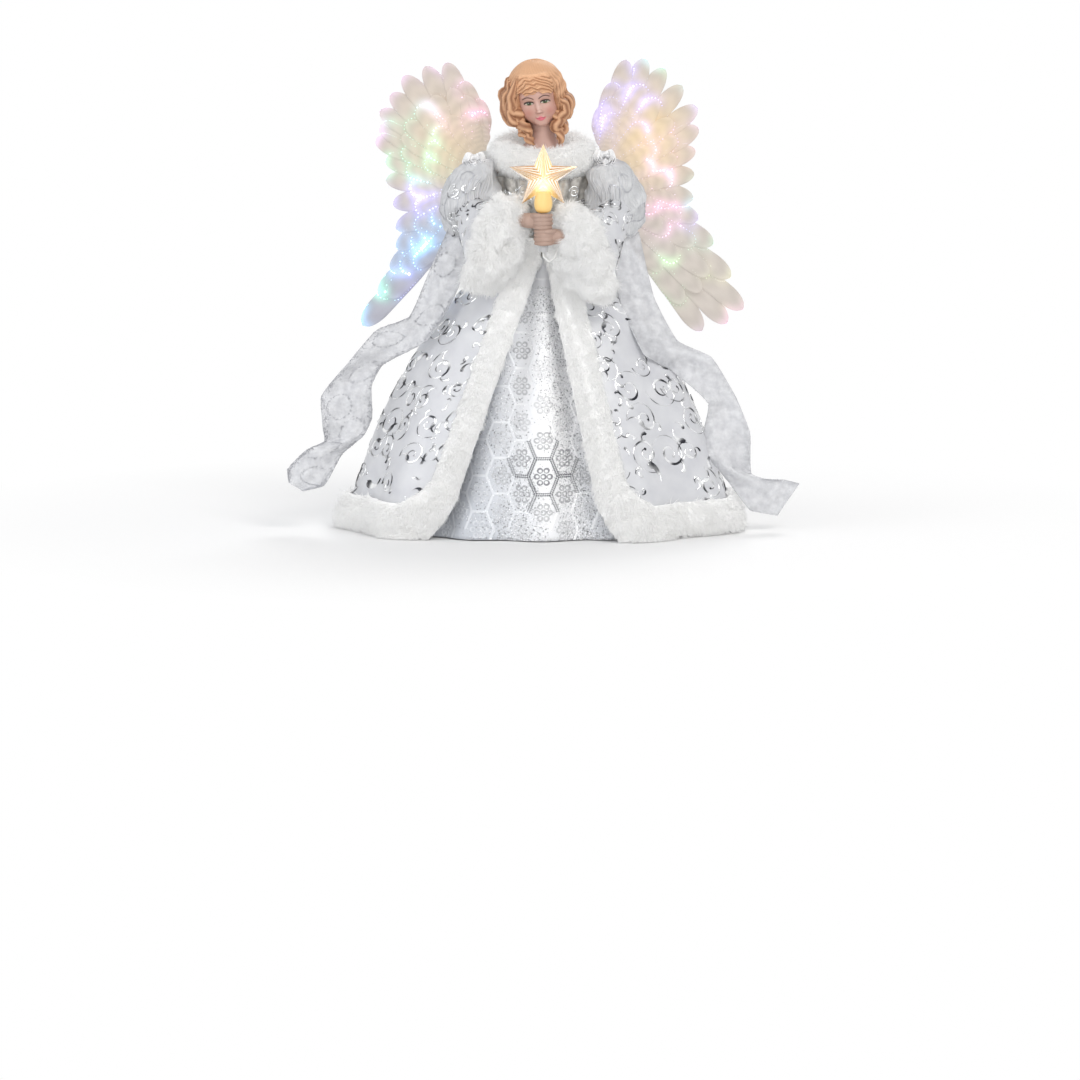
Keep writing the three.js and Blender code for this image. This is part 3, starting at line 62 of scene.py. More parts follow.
# Sizes that the solids share with the looks
CONE_HEIGHT = 180
CONE_RADII = (70, 18)
SKIRT_STAND_OFF = 1.3
SKIRT_FLARE = (41, 8)
SKIRT_CURVE = 0.6
SKIRT_FOLD = 3
SKIRT_FOLDS = 14
ROBE_STAND_OFF = 2.2
ROBE_EASE = 12
ROBE_FULLNESS = 14
ROBE_CURVE = 0.8
ROBE_DEPTH_SHARE = 0.75
ROBE_FOLD = 4
ROBE_FOLDS = 9
ROBE_HEM = 8
OPENING_FOOT = {-1: 70, 1: 43}
OPENING_TOP = 3
CORNER_FLARE = 9
CORNER_RISE = 28
BAND_WIDTH = 22
BAND_OVERHANG = 3
BAND_THICKNESS = (9, 4)
HEM_HEIGHT = 24
HEM_THICKNESS = 8
PLUSH_FOOT = 0.6
PLUSH_GAP = 0.5
TORSO = np.array([[0, 19, 17], [14, 18.5, 16], [33, 26, 20], [50, 31, 17], [61, 22, 12.5]], float)
BODICE_OFF = 1.5
BODICE_TOP = 50
ARM_ROUTE = [[22, 2, 54], [34, 0, 52], [47, -6, 40], [49, -20, 30]]
WRIST = (14, -58)
HAND_HEIGHT = {-1: 26.3, 1: 13.6}
HAND_LIFT = {-1: 0, 1: 2.4}
SLEEVE_SPAN = (0.2, 0.62)
SLEEVE_RADII = (9, 11.5)
SLEEVE_IN = 4
SLEEVE_TALL = 1.2
SLEEVE_DROP = 6
CUFF_SHARE = 0.86
CUFF_OUT = {-1: 32, 1: 27}
CUFF_SHEAR = 0.3
CUFF_FRONT = -51
CUFF_HEIGHT = {-1: 11, 1: 6}
CUFF_HALF = (14.5, 22.5)
CUFF_RADIUS = 8.5
CUFF_FORWARD = 12
CUFF_BACK = 7.5
CUFF_WAIST = 0.18
CUFF_LUMPS = 1.5
CUFF_HOLLOW = (25.7, 0, -5)
CUFF_HOLLOW_SIZE = 4.5
CUFF_FULL = {-1: 5, 1: 12}
CUFF_FULL_HEIGHT = 2
COLLAR_HEIGHT = 64
COLLAR_HALF = (25, 20)
COLLAR_RADIUS = 9.5
COLLAR_SLOPE = 0.22
NECK_PIVOT = 72
HEAD_HEIGHT = 104
HEAD_LEFT = 1.2
HEAD_NOD = math.radians(5)
HEAD_ROLL = math.radians(-6)
TORCH_FRONT = -62
STAR_FOOT = 44.7
STAR_HALF_WIDTH = 22.2
STAR_HEIGHT = 38.8
STAR_WAIST = 0.48
STAR_DIP = 0.42
STAR_HALF_DEPTH = 7
POST_OUT = 33
POST_BACK = 28.9
WING_SWEEP = math.radians(8)
WING_ROOT = np.array([[7, 62], [15, 24]], float)
SIDES = {-1: "left", 1: "right"}

low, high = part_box("cone_former")
AXIS = np.array([(low.x + high.x) / 2, (low.y + high.y) / 2, 0]) / MM
UP = np.array([0.0, 0.0, 1.0])


# Curves and vectors
def lerp(start, end, share):
    return start + (end - start) * share


def unit(vectors):
    return vectors / np.maximum(np.linalg.norm(vectors, axis=-1, keepdims=True), 1e-9)


def around(count, start=0.0):
    """Angles of one full turn."""
    return np.linspace(start, start + 2 * math.pi, count, endpoint=False)


def points_of(x, y, z):
    """Points from three coordinates, each a number, a row or a grid."""
    return np.stack(np.broadcast_arrays(x, y, z), -1)


def turned(x, y, angle):
    """Two coordinates turned by an angle."""
    return x * math.cos(angle) - y * math.sin(angle), x * math.sin(angle) + y * math.cos(angle)


def spot(x, wide, z, tall):
    """Soft round spot: 1 in its middle, and little beyond its half sizes."""
    return np.exp(-(x / wide) ** 2 - (z / tall) ** 2)


def smooth_step(share):
    share = np.clip(share, 0, 1)
    return share * share * (3 - 2 * share)


def spline(points, shares, power=0.5):
    """Curve through points, each stretch between two of them taking the same share."""
    points = np.asarray(points, float)
    ends = np.vstack([2 * points[0] - points[1], points, 2 * points[-1] - points[-2]])
    gaps = np.maximum(np.linalg.norm(np.diff(ends, axis=0), axis=1), 1e-6) ** power
    at = np.clip(np.asarray(shares, float), 0, 1) * (len(points) - 1)
    first = np.minimum(at.astype(int), len(points) - 2)
    w = (at - first)[:, None]
    p0, p1, p2, p3 = (ends[first + k] for k in range(4))
    d0, d1, d2 = (gaps[first + k][:, None] for k in range(3))
    leave = ((p1 - p0) / d0 - (p2 - p0) / (d0 + d1) + (p2 - p1) / d1) * d1
    arrive = ((p2 - p1) / d1 - (p3 - p1) / (d1 + d2) + (p3 - p2) / d2) * d1
    bend = 3 * (p2 - p1) - 2 * leave - arrive
    close = 2 * (p1 - p2) + leave + arrive
    return p1 + w * (leave + w * (bend + w * close))


def ripple(points, size, seed, waves=7):
    """Smooth random vectors over space, with waves about as long as size."""
    rng = np.random.default_rng(seed)
    total = np.zeros(points.shape)
    for _ in range(waves):
        wave = unit(rng.normal(size=3)) * 2 * math.pi / (size * rng.uniform(0.7, 1.5))
        total += np.sin(points @ wave + rng.uniform(0, 2 * math.pi))[..., None] * rng.normal(size=3)
    return total / math.sqrt(waves)


def upper(points):
    """Points measured from the top of the cone, as points measured from the floor."""
    return np.asarray(points, float) + UP * CONE_HEIGHT


# Meshes
class Shape:
    """Points in millimetres with faces of three or four corners, gathered part by part."""

    def __init__(self):
        self.blocks = []
        self.faces = []
        self.paints = {}
        self.count = 0

    def add(self, points, *faces, **paints):
        points = np.asarray(points, float).reshape(-1, 3)
        self.blocks.append(points)
        self.faces += [np.asarray(block) + self.count for block in faces]
        for name, values in paints.items():
            self.paints.setdefault(name, []).append(np.broadcast_to(values, (len(points), 3)))
        self.count += len(points)
        return self


def make(name, shape, finish, nodes=(), body="root", thick=0.0):
    """Object of a shape, riding on a body in place of some solids, and thickened if it is a sheet."""
    points = np.vstack(shape.blocks)
    sizes = np.concatenate([np.full(len(block), block.shape[1]) for block in shape.faces])
    corners = np.concatenate([block.ravel() for block in shape.faces])
    mesh = bpy.data.meshes.new(name)
    mesh.vertices.add(len(points))
    mesh.loops.add(len(corners))
    mesh.polygons.add(len(sizes))
    mesh.vertices.foreach_set("co", ((points + AXIS) * MM).ravel())
    mesh.loops.foreach_set("vertex_index", corners.astype(np.int32))
    mesh.polygons.foreach_set("loop_start", (np.cumsum(sizes) - sizes).astype(np.int32))
    mesh.polygons.foreach_set("use_smooth", np.ones(len(sizes), bool))
    mesh.update(calc_edges=True)
    for label, blocks in shape.paints.items():
        colours = np.hstack([np.vstack(blocks), np.ones((len(points), 1))])
        mesh.attributes.new(label, "FLOAT_COLOR", "POINT").data.foreach_set("color", colours.ravel())
    mesh.materials.append(finish.material)
    made = bpy.data.objects.new(name, mesh)
    scene.collection.objects.link(made)
    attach(made, body)
    if nodes:
        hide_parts(*nodes)
    if thick:
        solid = made.modifiers.new("thickness", "SOLIDIFY")
        solid.thickness = thick * MM
        solid.offset = 0
    return made


def grid_faces(rows, columns, closed=False):
    """Four-cornered faces of a grid of points, its last column joined to the first if closed."""
    row, column = np.meshgrid(np.arange(rows - 1), np.arange(columns - (not closed)), indexing="ij")
    beside = (column + 1) % columns
    corners = [row * columns + column, row * columns + beside]
    corners += [(row + 1) * columns + beside, (row + 1) * columns + column]
    return np.stack(corners, -1).reshape(-1, 4)


def turned_frames(path):
    """Two square directions at each point of a path, turning as little as they can."""
    ahead = unit(np.gradient(path, axis=0))
    side = np.empty(path.shape)
    side[0] = unit(np.cross(ahead[0], (0.31, 0.17, 0.93)))
    for i in range(1, len(path)):
        side[i] = unit(side[i - 1] - ahead[i] * (side[i - 1] @ ahead[i]))
    return side, np.cross(ahead, side)


def add_tube(shape, path, radius, sides=8, ridges=0, depth=0.0, twist=0.0, **paints):
    """Closed tube along a path. Ridges run along it and can wind round it."""
    path = np.asarray(path, float)
    count = len(path)
    side, other = turned_frames(path)
    turn = around(sides)
    along = np.linspace(0, 1, count)[:, None]
    reach = np.broadcast_to(np.asarray(radius, float).reshape(-1, 1), (count, 1))
    reach = (reach * (1 + depth * np.cos(ridges * turn + twist * along)))[..., None]
    ring = np.cos(turn)[:, None] * side[:, None] + np.sin(turn)[:, None] * other[:, None]
    points = np.vstack([(path[:, None] + reach * ring).reshape(-1, 3), path[:1], path[-1:]])
    at = np.arange(sides)
    after = (at + 1) % sides
    first = np.stack([after, at, np.full(sides, count * sides)], 1)
    top = (count - 1) * sides
    last = np.stack([top + at, top + after, np.full(sides, count * sides + 1)], 1)
    shape.add(points, grid_faces(count, sides, True), first, last, **paints)


def add_balls(shape, middles, radius, **paints):
    """Small round beads, each with eight faces."""
    middles = np.asarray(middles, float)
    spokes = np.array([[1, 0, 0], [0, 1, 0], [-1, 0, 0], [0, -1, 0], [0, 0, 1], [0, 0, -1]], float)
    faces = np.array([[k, (k + 1) % 4, 4] for k in range(4)] + [[(k + 1) % 4, k, 5] for k in range(4)])
    radius = np.broadcast_to(np.asarray(radius, float), len(middles))
    points = middles[:, None] + spokes * radius[:, None, None]
    spread = {name: np.repeat(values, 6, axis=0) for name, values in paints.items()}
    shape.add(points, (faces + 6 * np.arange(len(middles))[:, None, None]).reshape(-1, 3), **spread)


class Cloth:
    """Grid of points with rows down the cloth and columns round it, from the front towards +X."""

    def __init__(self, points, closed=False, outward=1):
        self.points = points
        self.closed = closed
        wide = np.concatenate([points[:, -1:], points, points[:, :1]], 1) if closed else points
        across = np.gradient(wide, axis=1)
        across = across[:, 1:-1] if closed else across
        down = np.gradient(points, axis=0)
        self.normals = outward * unit(np.cross(down, across))
        self.wide = np.linalg.norm(across, axis=2)
        self.tall = np.linalg.norm(down, axis=2)

    def at(self, row, column, lift):
        """Points at places in the grid, lifted off the cloth."""
        rows, columns = self.points.shape[:2]
        row = np.clip(row, 0, rows - 1.001)
        column = np.mod(column, columns) if self.closed else np.clip(column, 0, columns - 1.001)
        i, j = row.astype(int), np.minimum(column.astype(int), columns - 1)
        u, v = (row - i)[..., None], (column - j)[..., None]
        k = (j + 1) % columns

        def between(grid):
            return lerp(lerp(grid[i, j], grid[i, k], v), lerp(grid[i + 1, j], grid[i + 1, k], v), u)

        return between(self.points) + unit(between(self.normals)) * np.asarray(lift)[..., None]

    def patch(self, row, column):
        """Function that lays millimetres across and up from one spot onto the cloth."""
        i, j = int(row), int(column) % self.points.shape[1]
        wide, tall = self.wide[i, j], self.tall[i, j]
        return lambda x, y, lift: self.at(row - y / tall, column + x / wide, lift)

    def shape(self, **paints):
        rows, columns = self.points.shape[:2]
        return Shape().add(self.points, grid_faces(rows, columns, self.closed), **paints)


# Finishes
def colour_of(code):
    """Linear colour of a six-digit colour code."""
    parts = [int(code[k:k + 2], 16) / 255 for k in (1, 3, 5)]
    return np.array([p / 12.92 if p <= 0.04045 else ((p + 0.055) / 1.055) ** 2.4 for p in parts])


class Finish:
    """Material with one shader, and short ways to feed it."""

    def __init__(self, name, code, rough, **sockets):
        self.material = bpy.data.materials.new(name)
        self.material.use_nodes = True
        self.tree = self.material.node_tree
        self.shader = self.tree.nodes["Principled BSDF"]
        self.shader.inputs["Base Color"].default_value = (*colour_of(code), 1)
        self.shader.inputs["Roughness"].default_value = rough
        for socket, value in sockets.items():
            self.shader.inputs[socket.replace("_", " ")].default_value = value

    def node(self, kind, links=None, values=None, **settings):
        made = self.tree.nodes.new(kind)
        for key, value in settings.items():
            setattr(made, key, value)
        for key, value in (values or {}).items():
            made.inputs[key].default_value = value
        for key, value in (links or {}).items():
            self.tree.links.new(value, made.inputs[key])
        return made

    def feed(self, socket, output):
        self.tree.links.new(output, self.shader.inputs[socket])
        return self

    def place(self):
        return self.node("ShaderNodeTexCoord").outputs["Object"]

    def noise(self, size, detail=3.0):
        """Random field with features of a size in millimetres."""
        made = self.node("ShaderNodeTexNoise", {"Vector": self.place()})
        made.inputs["Scale"].default_value = 1 / (size * MM)
        made.inputs["Detail"].default_value = detail
        return made.outputs["Fac"]

    def ramp(self, factor, *stops):
        """Colours over a field, as pairs of a place and a colour code."""
        made = self.node("ShaderNodeValToRGB", {"Fac": factor})
        elements = made.color_ramp.elements
        while len(elements) < len(stops):
            elements.new(0.5)
        for element, (place, code) in zip(elements, stops):
            element.position = place
            element.color = (*colour_of(code), 1)
        return made.outputs["Color"]

    def mottle(self, size, *stops):
        return self.feed("Base Color", self.ramp(self.noise(size), *stops))

    def rough(self, size, strength, depth=0.3):
        """Bump of a size and a depth in millimetres."""
        values = {"Strength": strength, "Distance": depth * MM}
        made = self.node("ShaderNodeBump", {"Height": self.noise(size)}, values)
        return self.feed("Normal", made.outputs["Normal"])

    def painted(self, label, socket="Base Color"):
        return self.feed(socket, self.node("ShaderNodeAttribute", attribute_name=label).outputs["Color"])


SATIN = Finish("satin", "#cdced2", 0.34, Sheen_Weight=0.15)
SATIN.mottle(14, (0.3, "#c9cacf"), (0.7, "#d7d8db")).rough(0.9, 0.1)
SILVER = Finish("silver_brocade", "#c3c4c7", 0.34, Metallic=0.45)
SILVER.mottle(3, (0.35, "#989590"), (0.65, "#c0bdb8")).rough(1.2, 0.5)
FOIL = Finish("foil", "#d2d3d5", 0.13, Metallic=1.0)
FOIL.painted("Paint").rough(3.0, 0.6, 0.6)
RUFFLE = Finish("ruffle", "#fbfbfc", 0.33)
RUFFLE.rough(1.2, 0.4, 0.4)
LACE = Finish("lace", "#d6d8dd", 0.36, Sheen_Weight=0.2, Metallic=0.05)
LACE.painted("Paint").rough(0.6, 0.5)
THREAD = Finish("thread", "#b4b5ba", 0.42, Metallic=0.15)
THREAD.painted("Paint")
TRIM = Finish("trim", "#b4b5ba", 0.36, Metallic=0.7)
TRIM.rough(0.5, 0.6)
# Plush glows a little, as painted light standing for light scattered between its hairs
PLUSH = Finish("plush", "#fcfcfb", 0.95, Emission_Strength=0.1, Emission_Color=(1, 0.995, 0.985, 1))
PLUSH.mottle(7, (0.3, "#fafaf9"), (0.7, "#fdfdfd"))
ORGANZA = Finish("organza", "#d8d9db", 0.38, Sheen_Weight=0.2)
ORGANZA.mottle(7, (0.3, "#c4c5c8"), (0.7, "#d8d9db")).rough(0.8, 0.35)
ORGANZA.feed("Alpha", ORGANZA.ramp(ORGANZA.noise(6), (0.3, "#ececec"), (0.7, "#fcfcfc")))
SHEER = Finish("sheer", "#d2d3d6", 0.4, Sheen_Weight=0.2)
SHEER.mottle(5, (0.35, "#cacbcf"), (0.65, "#dfe0e3")).rough(0.4, 0.12)
SHEER.feed("Alpha", SHEER.ramp(SHEER.noise(4), (0.3, "#bababa"), (0.7, "#e4e4e4")))
SKIN = Finish("skin", "#b5998b", 0.55)
SKIN.mottle(9, (0.3, "#a58a7c"), (0.7, "#b59a8d"))
FACE = Finish("face", "#c8a294", 0.5)
FACE.painted("Paint")
HAIR = Finish("hair", "#cf9c76", 0.6)
HAIR.painted("Paint")
# Feathers glow with painted light: halos of the fibre lights, a warm middle and light through the feathers
FEATHER = Finish("feather", "#efe6d8", 0.75, Emission_Strength=1.0)
FEATHER.painted("Paint").painted("Glow", "Emission Color")
SPARK = Finish("spark", "#ffffff", 0.5, Emission_Strength=4.0)
SPARK.painted("Paint", "Emission Color")
# Clear star that glows with painted light of the lamp inside it
CLEAR = Finish("clear_star", "#fff1d2", 0.06, Transmission_Weight=0.85, Emission_Strength=1.0)
CLEAR.painted("Paint").painted("Glow", "Emission Color")
# Cup that glows with painted light of the lamp inside it
CREAM = Finish("cream_cup", "#e6bf74", 0.35, Emission_Strength=0.14)
CREAM.painted("Glow", "Emission Color")


# Skirts
def skirt_half(z):
    share = 1 - z / CONE_HEIGHT
    snug = lerp(*CONE_RADII, z / CONE_HEIGHT) + SKIRT_STAND_OFF
    flare = np.maximum(share, 0) ** SKIRT_CURVE
    return snug + SKIRT_FLARE[0] * flare, snug + SKIRT_FLARE[1] * flare, flare


def robe_half(z):
    share = np.clip(1 - z / CONE_HEIGHT, 0, 1)
    width, depth, _ = skirt_half(z)
    ease = ROBE_EASE * share + ROBE_FULLNESS * np.sin(math.pi * share ** ROBE_CURVE)
    return width + ROBE_STAND_OFF + ease, depth + ROBE_STAND_OFF + ROBE_DEPTH_SHARE * ease, share


def oval(angle, width, depth, z):
    return points_of(width * np.sin(angle), -depth * np.cos(angle), z)


def skirt_points(angle, z, lift=0.0):
    width, depth, flare = skirt_half(z)
    swell = lift + SKIRT_FOLD * flare * (np.cos(SKIRT_FOLDS * angle) + 0.5 * np.cos(6 * angle + 1))
    return oval(angle, width + swell, depth + swell, z)


def robe_points(angle, z, lift=0.0):
    width, depth, share = robe_half(z)
    swell = ROBE_FOLD * share * np.cos(ROBE_FOLDS * angle + math.pi / 2)
    flat = points_of(np.sin(angle) / width, -np.cos(angle) / depth, 0 * z)
    return oval(angle, width + swell, depth + swell, z) + unit(flat) * np.asarray(lift)[..., None]


def edge_angle(side, z, inward=0.0):
    """Angle of a front edge of the robe, or of a place inward of it."""
    width, depth, _ = robe_half(z)
    flare = CORNER_FLARE * np.clip(1 - z / CORNER_RISE, 0, 1) ** 2
    edge = np.arcsin((lerp(OPENING_FOOT[side], OPENING_TOP, z / CONE_HEIGHT) + flare) / width)
    return side * (edge + inward / np.hypot(width * np.cos(edge), depth * np.sin(edge)))


def wrap_angle(share, z, inward=0.0):
    """Angle at a share of the way round the back, from the right front edge to the left one."""
    return lerp(edge_angle(1, z, inward), 2 * math.pi + edge_angle(-1, z, inward), share)


STROKE_EDGE = 0.36


def stroke(shape, place, path, heading, width, crown=0.85, **paints):
    """Raised narrow ribbon along a flat path."""
    side = np.stack([-np.sin(heading), np.cos(heading)], 1) * np.asarray(width)[..., None]
    rows = []
    for share, lift in ((-1, STROKE_EDGE), (0, crown), (1, STROKE_EDGE)):
        x, y = (path + side * share).T
        rows.append(place(x, y, lift))
    shape.add(np.stack(rows, 1), grid_faces(len(path), 3), **paints)


def spiral(size, hand, heading, turns=1.6, steps=44):
    """Flat path that winds outwards from a middle and leaves in a tail, with its headings and shares."""
    share = np.linspace(0, 1, steps)
    angle = heading + hand * 2 * math.pi * turns * share
    reach = size * (0.1 + 0.4 * share + 0.65 * np.clip(share - 0.72, 0, 1))
    path = np.stack([np.cos(angle), np.sin(angle)], 1) * reach[:, None]
    step = np.gradient(path, axis=0)
    return path, np.arctan2(step[:, 1], step[:, 0]), share


def comma(shape, place, size, start, heading, hand, stout=0.2):
    """Foil drop with a round head and a bent thin tail."""
    share = np.linspace(0, 1, 18)
    turn = heading + hand * 2.3 * share
    path = np.cumsum(np.stack([np.cos(turn), np.sin(turn)], 1) * size / len(share), 0) + start
    broad = 0.15 + stout * size * np.sqrt(np.clip(share * (1 - share ** 6), 0, 1)) * share
    stroke(shape, place, path, turn, broad, 1.1)


BUD_STEP = 28
DROP_SIZE = 9
DARK_FOIL = colour_of("#3a3b40")
BRIGHT_FOIL = colour_of("#eeeff0")


def add_scroll(shape, place, size, heading, hand, kind):
    """Foil figure: a spiral with a drop at its tail, a pair of drops, or a bare spiral with a small drop."""
    middle = np.zeros(2)
    if kind == 1:
        comma(shape, place, size * 0.85, middle, heading, hand, 0.2)
        comma(shape, place, size * 0.5, middle + size * 0.22, heading + 2.4, -hand, 0.22)
        return
    path, turn, share = spiral(size, hand, heading)
    broad = 0.22 + size * 0.032 * np.sin(math.pi * share) ** 3 + size * 0.035 * (share < 0.06)
    stroke(shape, place, path, turn, broad)
    if kind == 0:
        comma(shape, place, size * 0.75, path[-1], turn[-1] + hand * 2.6, -hand, 0.1)
    comma(shape, place, size * 0.42, path[BUD_STEP], turn[BUD_STEP] - hand * 1.2, -hand, 0.2)


def foil_tones(shape, seed):
    """Paints foil dark and bright by turns, as it mirrors a room with dark and bright places."""
    tone = smooth_step(0.64 + 0.8 * ripple(np.vstack(shape.blocks), 9, seed)[:, :1])
    shape.paints["Paint"] = [lerp(DARK_FOIL, BRIGHT_FOIL, tone)]


def foil_scrolls(name, cloth, spots, seed):
    """Foil at places of a cloth, as row, column and size, with only drops where it is small."""
    shape = Shape()
    rng = np.random.default_rng(seed)
    for row, column, size in spots:
        hand = rng.choice([-1, 1])
        kind = rng.choice(3, p=[0.5, 0.2, 0.3]) if size > DROP_SIZE else 1
        heading = rng.uniform(0, 2 * math.pi)
        add_scroll(shape, cloth.patch(row, column), size * rng.uniform(0.7, 1.25), heading, hand, kind)
    foil_tones(shape, seed)
    return make(name, shape, FOIL)


SKIRT_ROWS = 61
SKIRT_COLUMNS = 336
SKIRT_HEM = 0.8
skirt_heights = np.linspace(CONE_HEIGHT - 1, SKIRT_HEM, SKIRT_ROWS)
skirt_turns = around(SKIRT_COLUMNS, -math.pi)
skirt_cloth = Cloth(skirt_points(skirt_turns[None, :], skirt_heights[:, None]), closed=True)

# Lace cells: rope outlines that share their sides, with a flower of rings in each
CELL_WIDTH = 13.2
CELL_PITCH = 22.5
CELL_FLOOR = -4
CELL_COLUMNS = 11
CELL_ROWS = 9
CELL_SPAN = (2, 160)
ROPE_STEPS = 10
ROPE_WIDTH = 0.8
PETALS = 6
PETAL_REACH = 3.7
PETAL_TALL = 1.15
PETAL_RADIUS = 1.45
KNOT_PITCH = 1.2
KNOT_RADIUS = 0.62
KNOT_SHINE = 0.35
# Painted shade on the thread along a pleat, and the knots that carry it
KNOT_LINE = (8, -10)
KNOT_REACH = 11
KNOT_MIDDLE = np.array([2.0, 42.0])
KNOT_SPREAD = 22
LACE_REACH = math.radians(78)
SHINE_MIDDLE = (8, 80)
SHINE_SIZE = (30, 130)
# Lace painted in shade at the sides and lit with sheen at the front; the lit colour is also the white of the
# trim and the spangles
SHADED_LACE = colour_of("#c0c4cb")
BRIGHT_LACE = colour_of("#fafafb")
PALE_THREAD = colour_of("#d6d9de")
# Dark thread: painted shade on the knots and flowers along the pleat, and also the colour of the trim's
# stitches and of the dark spangles
DARK_THREAD = colour_of("#66676d")
row_step = skirt_heights[0] - skirt_heights[1]
front_columns = slice(SKIRT_COLUMNS // 2 - 60, SKIRT_COLUMNS // 2 + 60)
column_wide = skirt_cloth.wide[:, front_columns].mean(1)
cell_corners = np.array([[-1 / 3, 0.5], [1 / 3, 0.5], [2 / 3, 0], [1 / 3, -0.5]]) * (CELL_WIDTH, CELL_PITCH)
ring_turn = np.linspace(0, 2 * math.pi, 11)
lace = Shape()
knots = Shape()


def skirt_row(z):
    """Row of the skirt at a height, and the width of its front columns there."""
    row = (skirt_heights[0] - z) / row_step
    return row, np.interp(row, np.arange(SKIRT_ROWS), column_wide)


def lace_place(x, z, lift):
    """Points of the skirt at millimetres to the side of its front and above the floor."""
    row, wide = skirt_row(z)
    return skirt_cloth.at(row, SKIRT_COLUMNS / 2 + x / wide, lift)


def painted_sheen(x, z):
    """Share of painted sheen on the lace, greatest at the front; where it is low, the lace is painted in
    shade.
    """
    return spot(x - SHINE_MIDDLE[0], SHINE_SIZE[0], z - SHINE_MIDDLE[1], SHINE_SIZE[1])


def pleat_shade(x, z):
    """Share of painted shade on the thread, greatest along a pleat that runs down to the right."""
    return np.exp(-((x - lerp(*KNOT_LINE, z / 100)) / KNOT_REACH) ** 2)


def pleat_shade_cluster(place, spread=1.0):
    """Share of painted shade on the outlines, greatest at the cell in the middle of the pleat."""
    return math.exp(-(np.linalg.norm(place - KNOT_MIDDLE) / (KNOT_SPREAD * spread)) ** 2)


def add_knots(start, end, shade):
    """Two rows of knots along one side of a cell, painted dark as shade in the pleat."""
    count = int(np.linalg.norm(end - start) / KNOT_PITCH)
    square = unit(np.array([start[1] - end[1], end[0] - start[0]]))
    for row in (-0.5, 0.5):
        share = (np.arange(count) + 0.5 + 0.3 * row) / count
        x, z = (lerp(start, end, share[:, None]) + square * row * KNOT_PITCH).T
        add_balls(knots, lace_place(x, z, 0.7), KNOT_RADIUS, Paint=np.broadcast_to(shade, (count, 3)))


def add_cell(middle):
    """Outline of one cell, with knots painted dark as shade near the pleat, and its flower, also painted
    darker there.
    """
    # Thread painted brighter where the lace's painted sheen is
    sheen_lit_thread = lerp(PALE_THREAD, BRIGHT_LACE, painted_sheen(*middle))
    # Flower painted darker as shade near the pleat
    flower = lerp(sheen_lit_thread, DARK_THREAD, max(0.5 * pleat_shade(*middle), 0.85 * pleat_shade_cluster(middle, 1.4)))
    for start, end in zip(middle + cell_corners[:-1], middle + cell_corners[1:]):
        path = lerp(start, end, np.linspace(0, 1, ROPE_STEPS)[:, None])
        heading = np.full(ROPE_STEPS, math.atan2(*(end - start)[::-1]))
        stroke(lace, lace_place, path, heading, ROPE_WIDTH, 0.6, Paint=sheen_lit_thread)
        deep = pleat_shade_cluster((start + end) / 2)
        if deep > KNOT_SHINE:
            add_knots(start, end, lerp(sheen_lit_thread, DARK_THREAD, min(1.5 * deep, 1)))
    for petal in range(PETALS + 1):
        turn = petal * 2 * math.pi / PETALS
        reach = PETAL_REACH if petal < PETALS else 0.0
        hub = middle + (reach * math.cos(turn), reach * PETAL_TALL * math.sin(turn))
        ring = PETAL_RADIUS * np.stack([np.cos(ring_turn), np.sin(ring_turn)], 1)
        width = 0.42 + 0.2 * np.cos(ring_turn - turn)
        stroke(lace, lace_place, hub + ring, ring_turn + math.pi / 2, width, 0.7, Paint=flower)


# Lace ground painted from shade at the sides to a painted sheen at the front
beside = (np.arange(SKIRT_COLUMNS) - SKIRT_COLUMNS / 2) * column_wide[:, None]
lace_sheen_paint = lerp(SHADED_LACE, BRIGHT_LACE, painted_sheen(beside, skirt_heights[:, None])[..., None]).reshape(-1, 3)
skirt_shape = skirt_cloth.shape(Paint=lace_sheen_paint)
under_skirt = make("under_skirt_cloth", skirt_shape, LACE, ["under_skirt"], thick=0.5)
for column in range(-CELL_COLUMNS, CELL_COLUMNS + 1):
    for row in range(CELL_ROWS):
        middle = np.array([column * CELL_WIDTH, CELL_FLOOR + (row + 0.5 * (column % 2)) * CELL_PITCH])
        reach = LACE_REACH / (2 * math.pi) * SKIRT_COLUMNS * skirt_row(middle[1])[1]
        if abs(middle[0]) <= reach and CELL_SPAN[0] < middle[1] < CELL_SPAN[1]:
            add_cell(middle)
lace_pieces = [make("skirt_lace", lace, THREAD), make("skirt_knots", knots, THREAD)]

SPANGLES = 23000
SPANGLE_REACH = 0.2
SPANGLE_SIZES = (0.2, 0.45)
rng = np.random.default_rng(9)
spangles = Shape()
level = CELL_SPAN[1] * rng.random(SPANGLES) ** 1.3
beside = SHINE_MIDDLE[0] + 0.8 * SHINE_SIZE[0] * rng.normal(size=SPANGLES)
near = np.abs(beside) < SPANGLE_REACH * SKIRT_COLUMNS * skirt_row(level)[1]
# Fewer spangles where the pleat is painted in shade
near &= rng.random(SPANGLES) > 0.9 * pleat_shade(beside, level)
spots = lace_place(beside[near], level[near], 0.35)
fleck = (0.8 * (rng.random(near.sum()) < 0.3))[:, None]
fleck_paint = lerp(BRIGHT_LACE, DARK_THREAD, fleck)
add_balls(spangles, spots, rng.uniform(*SPANGLE_SIZES, near.sum()), Paint=fleck_paint)
lace_pieces.append(make("skirt_spangles", spangles, FOIL))

